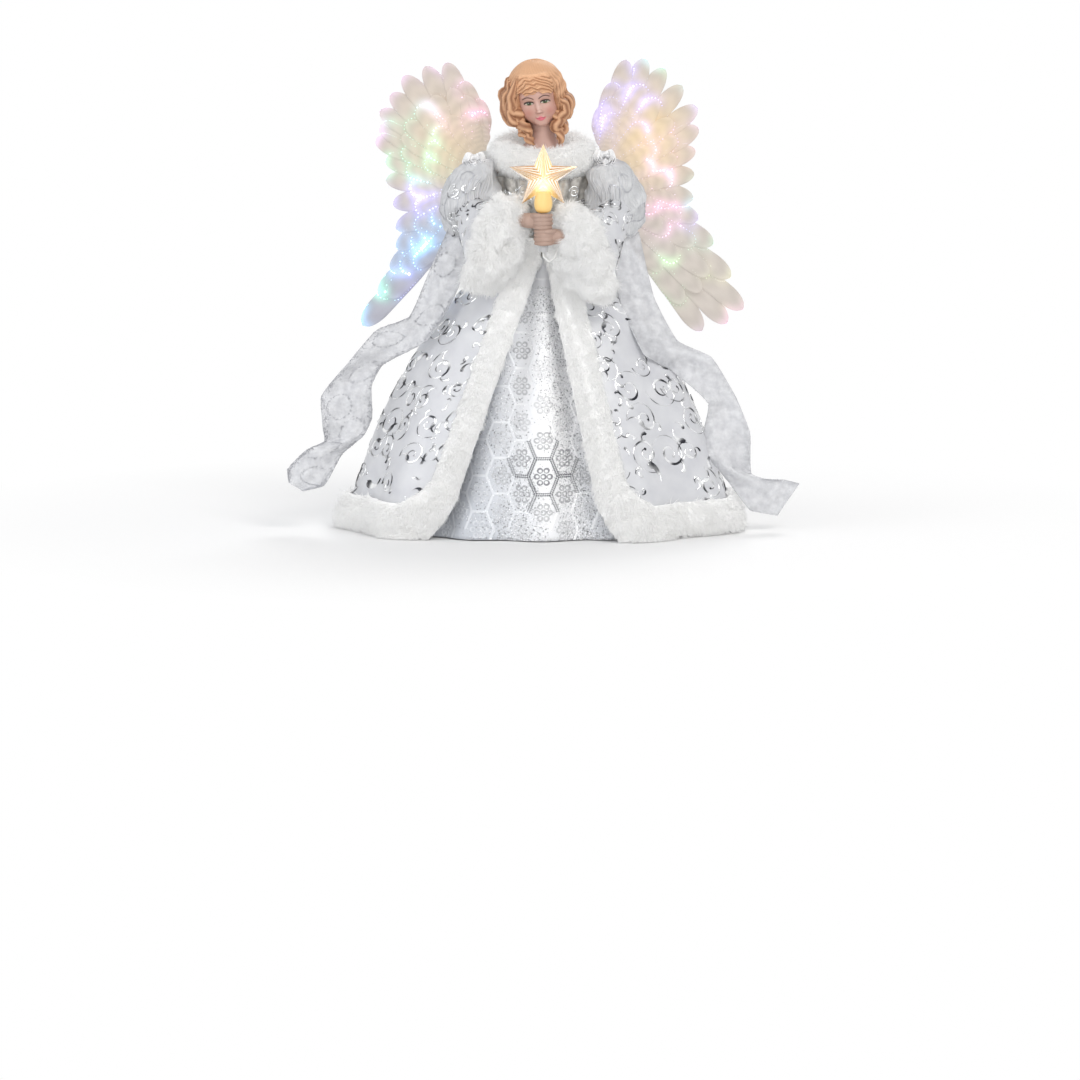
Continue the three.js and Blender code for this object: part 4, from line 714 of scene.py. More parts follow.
# Robe
ROBE_ROWS = 71
ROBE_COLUMNS = 300
robe_heights = np.linspace(CONE_HEIGHT, ROBE_HEM, ROBE_ROWS)[:, None]
angles = wrap_angle(np.linspace(0, 1, ROBE_COLUMNS)[None, :], robe_heights)
wrinkle = ripple(points_of(angles * 40, 0 * angles, robe_heights * 0.4), 22, 3)
robe_cloth = Cloth(robe_points(angles, robe_heights, 0.5 * wrinkle[..., 0]))
robe = make("robe_cloth", robe_cloth.shape(), SATIN, ["robe"], thick=0.6)

SCROLL_PITCH = 22
SCROLL_SIZE = 18
SCROLL_ROWS = 8
EDGE_DROPS = range(16, 62, 5)
spots = []
rng = np.random.default_rng(10)
for band, row in enumerate(np.arange(4, ROBE_ROWS - 9, SCROLL_ROWS)):
    count = max(int(robe_cloth.wide[int(row)].sum() / SCROLL_PITCH), 3)
    for k in range(count):
        column = (k + 0.5 * (band % 2) + rng.uniform(0.15, 0.85)) / (count + 0.5) * ROBE_COLUMNS
        spots.append((row + rng.uniform(-2, 2), min(column, ROBE_COLUMNS - 2), SCROLL_SIZE))
for row in EDGE_DROPS:
    beside = rng.uniform(BAND_WIDTH + 1, BAND_WIDTH + 7, 2) / robe_cloth.wide[row, [3, -4]]
    spots += [(row, beside[0], DROP_SIZE), (row + 2, ROBE_COLUMNS - 1 - beside[1], DROP_SIZE)]
scrolls = foil_scrolls("robe_scrolls", robe_cloth, spots, 11)

# Bodice
BODICE_ROWS = 36
BODICE_COLUMNS = 120
PLEATS = 22
PLEAT_DEPTH = 0.8
levels = np.linspace(BODICE_TOP, 0, BODICE_ROWS)[:, None]
width, depth = (np.interp(levels, TORSO[:, 0], TORSO[:, k]) + BODICE_OFF for k in (1, 2))
turns = around(BODICE_COLUMNS, -math.pi)[None, :]
pleat = PLEAT_DEPTH * np.cos(PLEATS * turns + 1.5 * np.sin(3 * turns))
bodice_cloth = Cloth(upper(oval(turns, width + pleat, depth + pleat, levels)), closed=True)
bodice = make("bodice_cloth", bodice_cloth.shape(), SILVER, ["bodice"], thick=0.5)
spots = [(r, c, 10) for r in (7, 16, 25) for c in np.arange(3, BODICE_COLUMNS, 11) + (r % 2) * 5]
scrolls = foil_scrolls("bodice_scrolls", bodice_cloth, spots, 12)

# Sleeves
SLEEVE_ROWS = 22
SLEEVE_COLUMNS = 72
MOUTH_STEPS = 12


def arm_points(side, shares):
    wrist = HAND_HEIGHT[side]
    route = ARM_ROUTE + [[37, -43, wrist + 3], [*WRIST, wrist]]
    return spline(np.array(route, float) * (side, 1, 1), shares)


def arm_ahead(side, shares):
    step = 0.002
    return unit(arm_points(side, np.asarray(shares) + step) - arm_points(side, np.asarray(shares) - step))


def cuff_frame(side):
    """Middle of a cuff and its directions along the arm, across and up."""
    ahead = unit(arm_ahead(side, [CUFF_SHARE])[0] * (1, 1, 0))
    middle = np.array([side * CUFF_OUT[side], CUFF_FRONT, CUFF_HEIGHT[side]], float)
    tall = UP - side * CUFF_SHEAR * np.array([1.0, 0, 0])
    return middle, ahead, np.array([ahead[1], -ahead[0], 0]), tall


def sleeve_rings(side):
    """Rings of a sleeve, from the shoulder down the arm to its wide mouth behind the cuff."""
    shares = np.linspace(0, 1, SLEEVE_ROWS)
    places = lerp(*SLEEVE_SPAN, shares)
    ahead = arm_ahead(side, places)
    across = unit(np.cross(ahead, UP))
    along = np.cross(across, ahead)
    hang = np.array([-side * SLEEVE_IN, 0, -SLEEVE_DROP])
    middle = arm_points(side, places) + hang * shares[:, None]
    radius = lerp(*SLEEVE_RADII, np.sqrt(shares))[:, None, None]
    tall = lerp(1, SLEEVE_TALL, shares)[:, None, None]
    turn = around(SLEEVE_COLUMNS)[:, None]
    spoke_x, spoke_z = np.cos(turn), np.sin(turn)
    rings = middle[:, None] + radius * (spoke_x * across[:, None] + tall * spoke_z * along[:, None])
    centre, forward, side_way, tall_way = cuff_frame(side)
    mouth = centre - forward * CUFF_RADIUS
    mouth = mouth + CUFF_HALF[0] * spoke_x * side_way + CUFF_HALF[1] * spoke_z * tall_way
    steps = smooth_step(np.linspace(0, 1, MOUTH_STEPS))[1:, None, None]
    return upper(np.concatenate([rings, lerp(rings[-1], mouth, steps)]))


def add_sleeve(side, label):
    """Satin sleeve of one arm, with its foil."""
    rings = sleeve_rings(side)
    rings = rings + 0.5 * ripple(rings, 15, 21)
    cloth = Cloth(rings, closed=True, outward=-1)
    if np.sum((rings - rings.mean(1, keepdims=True)) * cloth.normals) < 0:
        cloth.normals = -cloth.normals
    sleeve = make(f"sleeve_{label}_cloth", cloth.shape(), SATIN, [f"sleeve_{label}"], thick=0.5)
    spots = [(r, c + r, 11) for r in (12, 17, 22, 27) for c in range(0, SLEEVE_COLUMNS, 12)]
    scrolls = foil_scrolls(f"sleeve_{label}_scrolls", cloth, spots, 30 + side)


# Shoulder puffs, with swirls as row, column, size and hand
PUFF_ROWS = 80
PUFF_COLUMNS = 480
PUFF_HALF = (21, 18, 25.5)
PUFF_MIDDLE = (-8, 35)
PUFF_LEAN = (40, 49)
PUFF_FLAT = 0.75
PUFF_RIBS = (31, 67, 88)
PUFF_RIB_DEPTHS = (0.009, 0.005)
PUFF_SWIRLS = ((24, 40, 21, 1), (46, 80, 24, -1), (54, 30, 22, 1), (34, 0, 18, -1))


def puff_cloth(side):
    """Gathered puff, flatter on the side towards the neck."""
    rise = np.linspace(0.02, 0.98, PUFF_ROWS)[:, None]
    turn = around(PUFF_COLUMNS)[None, :]
    broad, narrow, fine = PUFF_RIBS
    rib = np.cos(broad * turn + 5 * np.sin(4 * rise) + 3 * np.sin(2 * turn))
    rib = rib + np.cos(narrow * turn + 4 * rise)
    thread = np.cos(fine * turn + 6 * rise + 2 * np.sin(2 * turn))
    gather = 1 + PUFF_RIB_DEPTHS[0] * rib + PUFF_RIB_DEPTHS[1] * thread
    full = np.sin(math.pi * rise) ** 0.7 * gather
    flat = np.where(side * np.sin(turn) < 0, PUFF_FLAT, 1.0)
    hang = points_of(side * lerp(*PUFF_LEAN, rise) + PUFF_HALF[0] * full * flat * np.sin(turn),
                     PUFF_MIDDLE[0] - PUFF_HALF[1] * full * np.cos(turn),
                     PUFF_MIDDLE[1] + PUFF_HALF[2] * np.cos(math.pi * rise))
    return Cloth(upper(hang + 1.2 * ripple(hang, 15, 22) + 0.2 * ripple(hang, 4.5, 23)), closed=True)


def add_puff(side, label):
    """Organza puff of one shoulder, with swirls of thread, and some foil on the left one."""
    puff = puff_cloth(side)
    made = make(f"puff_{label}_cloth", puff.shape(), ORGANZA, [f"puff_{label}"], thick=0.25)
    swirls = Shape()
    for row, column, size, hand in PUFF_SWIRLS:
        path, heading, share = spiral(size, hand * side, 1.2 * side + row, 1.1)
        width = 0.15 + 0.4 * np.sin(math.pi * share)
        stroke(swirls, puff.patch(row, side * column), path, heading, width, 0.5)
    puff_pieces = [make(f"puff_{label}_swirls", swirls, TRIM)]
    if side < 0:
        spots = [(r, c + r / 4, 10) for r in (34, 50, 64) for c in (415, 455)]
        puff_pieces.append(foil_scrolls("puff_left_scrolls", puff, spots, 36))


for side, label in SIDES.items():
    add_sleeve(side, label)
    add_puff(side, label)

# Shoulder rosettes of gathered satin, three ruffles each
ROSETTE = {-1: (-44, -10, 58), 1: (40, -13, 60)}
ROSETTE_TILT = np.array([[1, 0, 0], [0, 0.6, -0.8], [0, 0.8, 0.6]])
turn = np.linspace(0, 5 * math.pi, 160)
for side, label in SIDES.items():
    rosette = Shape()
    for layer in range(3):
        reach = lerp(1.8, 6.4 - layer, turn / turn[-1])
        wavy = 1.2 * layer + 1.4 * np.sin(4.3 * turn)
        flare = np.stack([reach * np.cos(turn), reach * np.sin(turn) * 0.8, wavy], 1)
        lip = flare * (1.35, 1.35, 1) + UP * (4.0 + 1.2 * np.cos(5.1 * turn))[:, None]
        strip = np.stack([flare, lerp(flare, lip, 0.5) + 0.6 * ripple(flare, 4, layer), lip], 1)
        rosette.add(upper(strip @ ROSETTE_TILT.T + ROSETTE[side]), grid_faces(len(turn), 3))
    made = make(f"rosette_{label}", rosette, RUFFLE, thick=0.2)

# Sash tails, as the outer and the inner edge at each bend
SASHES = {
    -1: [[[-60, -12, 20], [-42, -18, 16]], [[-73, -16, -9], [-51, -24, -13]],
         [[-87, -18, -41], [-65, -28, -41]], [[-108, -20, -49], [-76, -26, -56]],
         [[-128, -28, -71], [-104, -16, -72]], [[-144, -20, -92], [-111, -27, -84]],
         [[-143, -27, -111], [-111, -18, -107]], [[-142, -18, -122], [-116, -26, -117]],
         [[-154, -25, -127], [-130, -18, -130]], [[-166, -20, -140], [-142, -26, -150]],
         [[-165, -24, -148], [-156, -22, -154]]],
    1: [[[62, -12, 14], [44, -18, 10]], [[72, -14, -29], [50, -22, -32]],
        [[87, -22, -56], [65, -38, -63]], [[109, -26, -66], [84, -22, -76]],
        [[125, -18, -93], [107, -26, -96]], [[134, -26, -115], [104, -20, -115]],
        [[135, -18, -143], [106, -28, -130]], [[145, -26, -146], [119, -20, -147]],
        [[156, -18, -147], [134, -25, -166]], [[166, -22, -149], [152, -20, -170]]],
}
SASH_ROWS = 140
SASH_COLUMNS = 29
EDGE_GLITTER = 900
RING_GLITTER = 150
GLITTER_RINGS = 8
GLITTER_LIFT = 0.2


def creased(points, shares):
    """Curve through points that turns sharply at them."""
    at = np.linspace(0, 1, len(points))
    straight = np.stack([np.interp(shares, at, points[:, k]) for k in range(3)], 1)
    return lerp(straight, spline(points, shares), 0.4)


def sash_glitter(ribbon, seed):
    """Glitter along both edges of a sash and in rings down its middle."""
    glitter = Shape()
    rng = np.random.default_rng(seed)
    for edge in (0, SASH_COLUMNS - 1):
        near = np.abs(edge - np.abs(rng.normal(scale=1.6, size=EDGE_GLITTER)))
        spots = ribbon.at(rng.uniform(0, SASH_ROWS - 1, EDGE_GLITTER), near, GLITTER_LIFT)
        add_balls(glitter, spots, rng.uniform(0.18, 0.42, EDGE_GLITTER))
    for k in range(GLITTER_RINGS):
        turn = rng.uniform(0, 2 * math.pi, RING_GLITTER)
        reach = 8.0 + rng.normal(scale=0.45, size=RING_GLITTER)
        place = ribbon.patch(12 + 16.0 * k, 10 + 8 * (k % 2))
        spots = place(reach * np.cos(turn), reach * np.sin(turn), GLITTER_LIFT)
        add_balls(glitter, spots, rng.uniform(0.15, 0.32, RING_GLITTER))
    return glitter


for side, label in SIDES.items():
    stations = np.array(SASHES[side], float)
    shares = np.linspace(0, 1, SASH_ROWS)
    out = np.linspace(0, 1, SASH_COLUMNS)
    outer, inner = creased(stations[:, 0], shares), creased(stations[:, 1], shares)
    sheet = lerp(outer[:, None], inner[:, None], out[None, :, None])
    wave = 1.1 * np.sin(7.5 * out[None, :] + 9 * shares[:, None])
    sheet[..., 1] += wave + 0.5 * ripple(sheet, 9, 24)[..., 0]
    ribbon = Cloth(upper(sheet))
    sash = make(f"sash_{label}_cloth", ribbon.shape(), SHEER, [f"sash_{label}"], thick=0.25)
    edging = make(f"sash_{label}_glitter", sash_glitter(ribbon, 40 + side), TRIM)


# Plush
PILE_FLOOR = 0.15
HAIR_THIN = 0.14
DOWN = -UP


def add_pile(shape, points, faces, count, length, seed, lean, tuft, clump=5.0, thin=HAIR_THIN):
    """Tapering bent hairs on the outer side of a base, combed down and leaning together in tufts."""
    rng = np.random.default_rng(seed)
    points = points.reshape(-1, 3)
    shape.add(points, faces)
    corners = np.vstack([faces[:, [0, 1, 2]], faces[:, [0, 2, 3]]])
    a, b, c = (points[corners[:, k]] for k in range(3))
    square = np.cross(b - a, c - a)
    area = np.linalg.norm(square, axis=1)
    pick = rng.choice(len(corners), count, p=area / area.sum())
    one, two = np.sqrt(rng.random(count))[:, None], rng.random(count)[:, None]
    root = (1 - one) * a[pick] + one * (1 - two) * b[pick] + one * two * c[pick]
    bend = lean * DOWN + tuft * ripple(root, clump, seed) + 0.25 * ripple(root, length * 2, seed)
    heading = unit(unit(square[pick]) + bend + rng.normal(scale=0.28, size=(count, 3)))
    tip_way = unit(heading + 0.8 * bend + rng.normal(scale=0.3, size=(count, 3)))
    uneven = 1 + 0.2 * ripple(root, clump * 1.6, seed + 1)[:, :1]
    reach = length * rng.uniform(0.55, 1.05, (count, 1)) * np.clip(uneven, 0.5, 1.5) / 2
    side = unit(np.cross(heading, rng.normal(size=(count, 3))))
    other = np.cross(heading, side)
    spokes = [math.cos(t) * side + math.sin(t) * other for t in (0, 2.094, 4.189)]
    middle = root + heading * reach
    strand = [root + thin * s for s in spokes] + [middle + 0.8 * thin * s for s in spokes]
    strand = np.stack(strand + [middle + tip_way * reach], 1)
    strand[..., 2] = np.maximum(strand[..., 2], PILE_FLOOR + thin * rng.random((count, 1)))
    first = 7 * np.arange(count)[:, None, None]
    sides = np.array([[k, (k + 1) % 3, 3 + (k + 1) % 3, 3 + k] for k in range(3)])
    tips = np.array([[3 + k, 3 + (k + 1) % 3, 6] for k in range(3)])
    shape.add(strand, (sides + first).reshape(-1, 4), (tips + first).reshape(-1, 3))


def plush(name, points, faces, node, **pile):
    """Plush in place of a solid."""
    shape = Shape()
    add_pile(shape, points, faces, **pile)
    made = make(name, shape, PLUSH, [node])


# Front bands, each with a thread trim under its hairs
BAND_ROWS = 118
BAND_COLUMNS = 13
BAND_RISE = 11
BAND_CORNER = 22
BAND_INSET = 1.5
TRIM_PITCH = 7
TRIM_RADIUS = 0.7
TRIM_SIDES = 6
TRIM_STEPS = 260
TRIM_FADE = 70


def add_band(side, label):
    """Plush band along one front edge of the robe, wider at its foot."""
    rows = np.linspace(CONE_HEIGHT + BAND_RISE, PLUSH_FOOT + 1, BAND_ROWS)[:, None]
    level = np.minimum(rows, CONE_HEIGHT)
    stops = np.linspace(0, 1, BAND_COLUMNS)[None, :]
    corner = BAND_CORNER * np.clip(1 - (level - HEM_HEIGHT + 4) / BAND_CORNER, 0, 1) ** 2.2
    inward = lerp(-BAND_OVERHANG + BAND_INSET, BAND_WIDTH - BAND_OVERHANG - BAND_INSET + corner, stops)
    crown = lerp(*BAND_THICKNESS, level / CONE_HEIGHT) * 0.5 * np.sin(math.pi * stops) ** 0.6
    angle = edge_angle(side, level, inward)
    points = robe_points(angle, level + 0 * stops, PLUSH_GAP + crown) + UP * (rows - level)[..., None]
    faces = grid_faces(BAND_ROWS, BAND_COLUMNS)
    faces = faces[:, ::-1] if side > 0 else faces
    plush(f"front_band_{label}_pile", points, faces, f"front_band_{label}",
          count=30000, length=5.0, seed=50 + side, lean=1.3, tuft=0.2)


def add_trim(side, label):
    """Thread trim along a band, with dark stitches that fade upwards."""
    line = np.linspace(CONE_HEIGHT - 8, 2, TRIM_STEPS)
    path = robe_points(edge_angle(side, line, -BAND_OVERHANG + 0.9), line, 0.4)
    dash = 0.5 * smooth_step((TRIM_FADE - line) / 50) * (np.sin(line * 2 * math.pi / TRIM_PITCH) > 0.8)
    dash = np.repeat(dash, TRIM_SIDES)[:, None]
    paint = lerp(BRIGHT_LACE, DARK_THREAD, np.vstack([dash, dash[:1], dash[-1:]]))
    rope = Shape()
    add_tube(rope, path, np.linspace(0.3, TRIM_RADIUS, TRIM_STEPS), TRIM_SIDES, 2, 0.15, 90, Paint=paint)
    make(f"front_trim_{label}", rope, THREAD)


for side, label in SIDES.items():
    add_band(side, label)
    add_trim(side, label)

# Hem band
HEM_ROWS = 11
HEM_COLUMNS = 260
columns = np.linspace(0, 1, HEM_COLUMNS)[None, :]
rows = np.linspace(PLUSH_FOOT + HEM_HEIGHT - 2, PLUSH_FOOT + 1.5, HEM_ROWS)[:, None]
crown = HEM_THICKNESS * 0.6 * np.sin(math.pi * np.linspace(0.05, 0.95, HEM_ROWS))[:, None] ** 0.6
angle = wrap_angle(columns, rows, BAND_WIDTH - BAND_OVERHANG - 4)
points = robe_points(angle, rows + 0 * columns, PLUSH_GAP + crown)
plush("hem_band_pile", points, grid_faces(HEM_ROWS, HEM_COLUMNS)[:, ::-1], "hem_band",
      count=30500, length=7.0, seed=60, lean=0.8, tuft=0.35, thin=HAIR_THIN * 1.2)

# Collar and cuffs
RIM_STEPS = 72
COLLAR_SIDES = 18
COLLAR_PILE = 3
CUFF_ROWS = 26
CUFF_DENT = 6
CUFF_FULL_SIZE = 11
rim_turns = around(RIM_STEPS)


def ring_base(middles, outward, upward, radius, sides):
    """Closed ring of round sections."""
    turn = around(sides)[None, :, None]
    points = middles[:, None] + radius * (np.cos(turn) * outward[:, None] + np.sin(turn) * upward)
    points = np.concatenate([points, points[:1]])
    return points, grid_faces(len(points), sides, True)


def face_out(points, faces, middles):
    """Faces turned so that they look away from the middle line of a ring."""
    flat = points.reshape(-1, 3)
    a, b, c = (flat[faces[:, k]] for k in range(3))
    hub = np.repeat(np.concatenate([middles, middles[:1]]), points.shape[1], axis=0)
    out = np.sum(np.cross(b - a, c - a) * (a - hub[faces[:, 0]]))
    return faces if out > 0 else faces[:, ::-1]


line = oval(rim_turns, COLLAR_HALF[0], COLLAR_HALF[1], COLLAR_HEIGHT)
line[:, 2] += COLLAR_SLOPE * line[:, 1]
collar_radius = COLLAR_RADIUS - COLLAR_PILE
points, faces = ring_base(upper(line), unit(line * (1, 1, 0)), UP, collar_radius, COLLAR_SIDES)
plush("collar_pile", points, face_out(points, faces, upper(line)), "collar",
      count=31000, length=7.2, seed=70, lean=0.6, tuft=0.35)


def add_cuff(side, label):
    """Plush bell round one sleeve's mouth, lumpy, dented by the hand and fuller on its inner side."""
    middle, ahead, across, tall = cuff_frame(side)
    roll = np.linspace(0.02, math.pi - 0.02, CUFF_ROWS)[:, None, None]
    spread = 1.3 * np.sin(roll) ** 0.62
    wide = CUFF_HALF[0] * (1 - CUFF_WAIST * np.exp(-(np.cos(rim_turns) / 0.4) ** 2))
    rim = (np.sin(rim_turns) * wide)[:, None] * across + np.cos(rim_turns)[:, None] * CUFF_HALF[1] * tall
    bulge = np.where(np.cos(roll) > 0, CUFF_FORWARD, CUFF_BACK)
    points = middle + spread * rim + ahead * bulge * np.cos(roll)
    points = points + CUFF_LUMPS * ripple(points, 15, 83 + side)
    hollow = np.linalg.norm((points - CUFF_HOLLOW) * (1, 0, 1), axis=-1) / CUFF_HOLLOW_SIZE
    points[..., 1] += CUFF_DENT * np.exp(-hollow ** 2) * (np.cos(roll[..., 0]) > 0)
    inner = np.clip(1 - side * points[..., 0] / CUFF_OUT[side], 0, 1)
    inner = inner * np.exp(-((points[..., 2] - CUFF_FULL_HEIGHT) / CUFF_FULL_SIZE) ** 2)
    points[..., 0] -= side * CUFF_FULL[side] * inner
    points = upper(points)
    faces = grid_faces(CUFF_ROWS, RIM_STEPS, True)
    faces = face_out(points, faces, np.broadcast_to(upper(middle), (CUFF_ROWS - 1, 3)))
    plush(f"cuff_{label}_pile", points, faces, f"cuff_{label}",
          count=31000, length=8.5, seed=80 + side, lean=0.5, tuft=0.45, clump=6.5)


for side, label in SIDES.items():
    add_cuff(side, label)


# Head
def head_turn(points):
    """Nods and rolls points given from the middle of the head."""
    x, y, z = np.moveaxis(points, -1, 0)
    y, z = turned(y, z + HEAD_HEIGHT - NECK_PIVOT, HEAD_NOD)
    z, x = turned(z, x, HEAD_ROLL)
    return upper(np.stack([x - HEAD_LEFT, y, z + NECK_PIVOT], -1))


def blob(points, middle, half):
    """About how far points are outside a rounded lump."""
    away = (points - middle) / half
    near = np.linalg.norm(away, axis=-1)
    return near * (near - 1) / np.maximum(np.linalg.norm(away / half, axis=-1), 1e-9)


def merge(one, other, soft):
    mix = np.clip(0.5 + 0.5 * (other - one) / soft, 0, 1)
    return lerp(other, one, mix) - soft * mix * (1 - mix)


def carve(one, other, soft):
    return -merge(-one, other, soft)


FACE_DROP = 1.6
FACE_LEAN = 0.14
FACE_SLOPE = 0.045
EYE_OUT = 5.2
EYE_DROP = -2.3
MOUTH_DROP = -12.3
SKULL = ((0, 0, 1), (15, 17, 18.5))
# Lumps of the face: how each joins, whether it is one of a pair, its middle, half sizes and softness
FACE_LUMPS = {
    "jaw": (merge, False, (0, -4.6, -7.6), (11.8, 11.6, 11.8), 3),
    "cheek": (merge, True, (6.0, -10.2, -8.0), (5.0, 4.8, 5.2), 3),
    "chin": (merge, False, (0, -12.4, -15.4), (4.2, 3.4, 3.2), 2.5),
    "brow": (merge, False, (0, -13.2, 2.6), (9, 3.4, 3.0), 3),
    "eye socket": (carve, True, (EYE_OUT, -17.4, EYE_DROP - 0.2), (3.7, 2.5, 2.1), 1.2),
    "eyeball": (merge, True, (EYE_OUT, -13.0, EYE_DROP), (2.9, 2.6, 2.2), 0.35),
    "nose": (merge, False, (0, -15.2, -3.4), (1.3, 2.2, 4.6), 1.4),
    "nose tip": (merge, False, (0, -17.0, -7.6), (1.7, 1.6, 1.5), 1.0),
    "nose wing": (merge, True, (1.6, -15.8, -8.0), (1.1, 1.3, 1.0), 0.6),
    "lip groove": (carve, False, (0, -17.4, -10.2), (0.7, 1.0, 1.2), 0.7),
    "upper lip": (merge, True, (0.9, -15.2, MOUTH_DROP + 0.6), (2.4, 1.4, 0.75), 0.4),
    "lower lip": (merge, False, (0, -15.0, MOUTH_DROP - 0.8), (2.4, 1.5, 0.9), 0.4),
    "chin groove": (carve, False, (0, -17.2, MOUTH_DROP - 2.9), (2.6, 1.3, 0.8), 0.8),
}


def face_frame(p):
    """Points given from the middle of the head, in the frame of the face, which leans within the hair."""
    z = p[..., 2] + FACE_DROP - FACE_SLOPE * p[..., 0]
    return np.stack([p[..., 0] + FACE_LEAN * (z - EYE_DROP), p[..., 1], z], -1)


def head_distance(p):
    """About how far points given from the middle of the head are outside it."""
    distance = blob(p, *SKULL)
    single = face_frame(p)
    paired = np.stack([np.abs(single[..., 0]), single[..., 1], single[..., 2]], -1)
    for join, pair, middle, half, soft in FACE_LUMPS.values():
        distance = join(distance, blob(paired if pair else single, middle, half), soft)
    return distance


def over(under, code, share):
    """A colour laid over others by a share."""
    return lerp(under, colour_of(code), np.clip(share, 0, 1)[..., None])


def mark(value, edge, soft=0.18):
    """1 where a value is below an edge and 0 above it, with a soft change."""
    return smooth_step((edge + soft - value) / (2 * soft))


def face_paint(p):
    """Colours of the face: blush, painted highlights on the nose and a cheek and painted shade on the lids
    and round the nose, then eyes with dulled whites and a painted glint, brows and mouth.
    """
    p = face_frame(p)
    x, z = p[..., 0], p[..., 2]
    front = mark(p[..., 1], -5.0, 2.0)
    out = np.abs(x)
    from_eye = out - EYE_OUT
    over_eye = z - EYE_DROP
    arch = 1.05 * np.sqrt(np.clip(1 - (from_eye / 3.1) ** 2, 0, 1))
    eye = mark(np.abs(over_eye - 0.2 * arch) - arch, 0.0, 0.15) * mark(np.abs(from_eye), 3.0, 0.1)
    gaze = np.hypot(from_eye, over_eye - 0.2)
    # Place of the painted glint in each eye
    painted_glint = np.hypot(from_eye - 0.4, over_eye - 0.7)
    lash = mark(np.abs(over_eye - 1.15 * arch), 0.56) * mark(np.abs(from_eye - 0.2), 3.3, 0.2)
    under_lash = mark(np.abs(over_eye + 0.8 * arch), 0.18) * mark(np.abs(from_eye), 2.9, 0.2)
    brow_line = 3.0 + 1.5 * np.cos((from_eye - 0.3) / 2.4)
    brow = mark(np.abs(over_eye - brow_line), 0.4, 0.22) * mark(np.abs(from_eye - 0.1), 3.7, 0.4)
    bow = 1.0 + 0.35 * np.cos(out * 1.7) - 0.16 * out ** 1.5
    lips = mark(z - MOUTH_DROP, bow, 0.22) * mark(MOUTH_DROP - z, 1.8 - 0.15 * out ** 2, 0.22)
    lips = lips * mark(out, 3.5, 0.3)
    seam = mark(np.abs(z - MOUTH_DROP + 0.05 - 0.1 * np.cos(out * 1.6)), 0.11) * mark(out, 2.8, 0.3)
    layers = {
        # Painted highlights on the nose and a cheek
        "nose highlight": ("#e2c4ba", 0.55 * spot(x - 0.3, 1.5, z + 5.2, 4.2)),
        "cheek highlight": ("#dcb6aa", 0.4 * spot(x - 5.2, 2.6, z + 6.5, 2.4)),
        "blush": ("#ae6c5f", 0.6 * spot(out - 7.0, 3.4, z + 8.2, 3.2)),
        # Painted shade on the upper lid and at the side and foot of the nose
        "lid": ("#a2735f", 0.5 * spot(from_eye, 3.2, over_eye - 1.4, 1.5)),
        "nose side shade": ("#9c6a58", 0.45 * spot(x + 1.7, 0.8, z + 6.0, 2.6)),
        "shade under the nose": ("#96604f", 0.5 * spot(x, 1.9, z + 9.2, 0.6)),
        # Eye whites dulled as painted shade of the lids; the glint is a painted highlight
        "eye": ("#c4b9ad", eye),
        "iris": ("#3f5a2c", eye * mark(gaze, 1.5)),
        "pupil": ("#17140f", eye * mark(gaze, 0.7)),
        "painted_glint": ("#ffffff", eye * mark(painted_glint, 0.22, 0.1)),
        "lash": ("#2a1b15", lash),
        "under lash": ("#7a4c40", 0.6 * under_lash),
        "brow": ("#3a2018", 0.95 * brow),
        "lips": ("#d6667a", 0.9 * lips),
        "seam": ("#96404c", 0.8 * seam),
    }
    paint = np.broadcast_to(colour_of("#c29b8e"), p.shape)
    for code, share in layers.values():
        paint = over(paint, code, front * share)
    return paint


# Skin of the head, found along rays from a place inside it
RAY_RINGS = 170
RAY_COLUMNS = 240
RAY_START = np.array([0, -1.0, -4.0])
RAY_REACH = 30.0
RAY_HALVINGS = 24
from_front = math.pi * np.linspace(0.002, 0.999, RAY_RINGS)[:, None] ** 1.25
spin = around(RAY_COLUMNS)[None, :]
ray = points_of(np.sin(from_front) * np.cos(spin), -np.cos(from_front), np.sin(from_front) * np.sin(spin))
near, far = np.zeros(ray.shape[:2]), np.full(ray.shape[:2], RAY_REACH)
for _ in range(RAY_HALVINGS):
    reach = (near + far) / 2
    inside = head_distance(RAY_START + ray * reach[..., None]) < 0
    near, far = np.where(inside, reach, near), np.where(inside, far, reach)
skull = RAY_START + ray * near[..., None]
skull_paint = face_paint(skull).reshape(-1, 3)
head = Shape().add(head_turn(skull), grid_faces(RAY_RINGS, RAY_COLUMNS, True), Paint=skull_paint)

# Neck and shoulder plate
NECK_SIDES = 48
levels = np.array([57, 60, 62, 65, 68, 71, 75, 80, 86, 92], float)[:, None]
neck_wide = np.interp(levels, [57, 61, 65, 70, 76, 92], [18, 21, 19, 12, 7.8, 7])
neck_deep = np.interp(levels, [57, 61, 64, 68, 73, 92], [9, 12, 11, 8.8, 7.2, 7])
lean = np.interp(levels, [57, 72, 92], [0, 0, -1.9])
neck = oval(around(NECK_SIDES, -math.pi)[None, :], neck_wide, neck_deep, levels)
neck[..., 0] += lean
neck[..., 1] += 0.6 * lean
# Neck painted lighter than the face, as painted light that offsets the shadow of the head
head.add(upper(neck), grid_faces(len(levels), NECK_SIDES, True), Paint=colour_of("#d0aca0"))
make("head_skin", head, FACE, ["head"])

# Hair: a wavy mantle with rolls at its rim and ringlets below
hair = Shape()
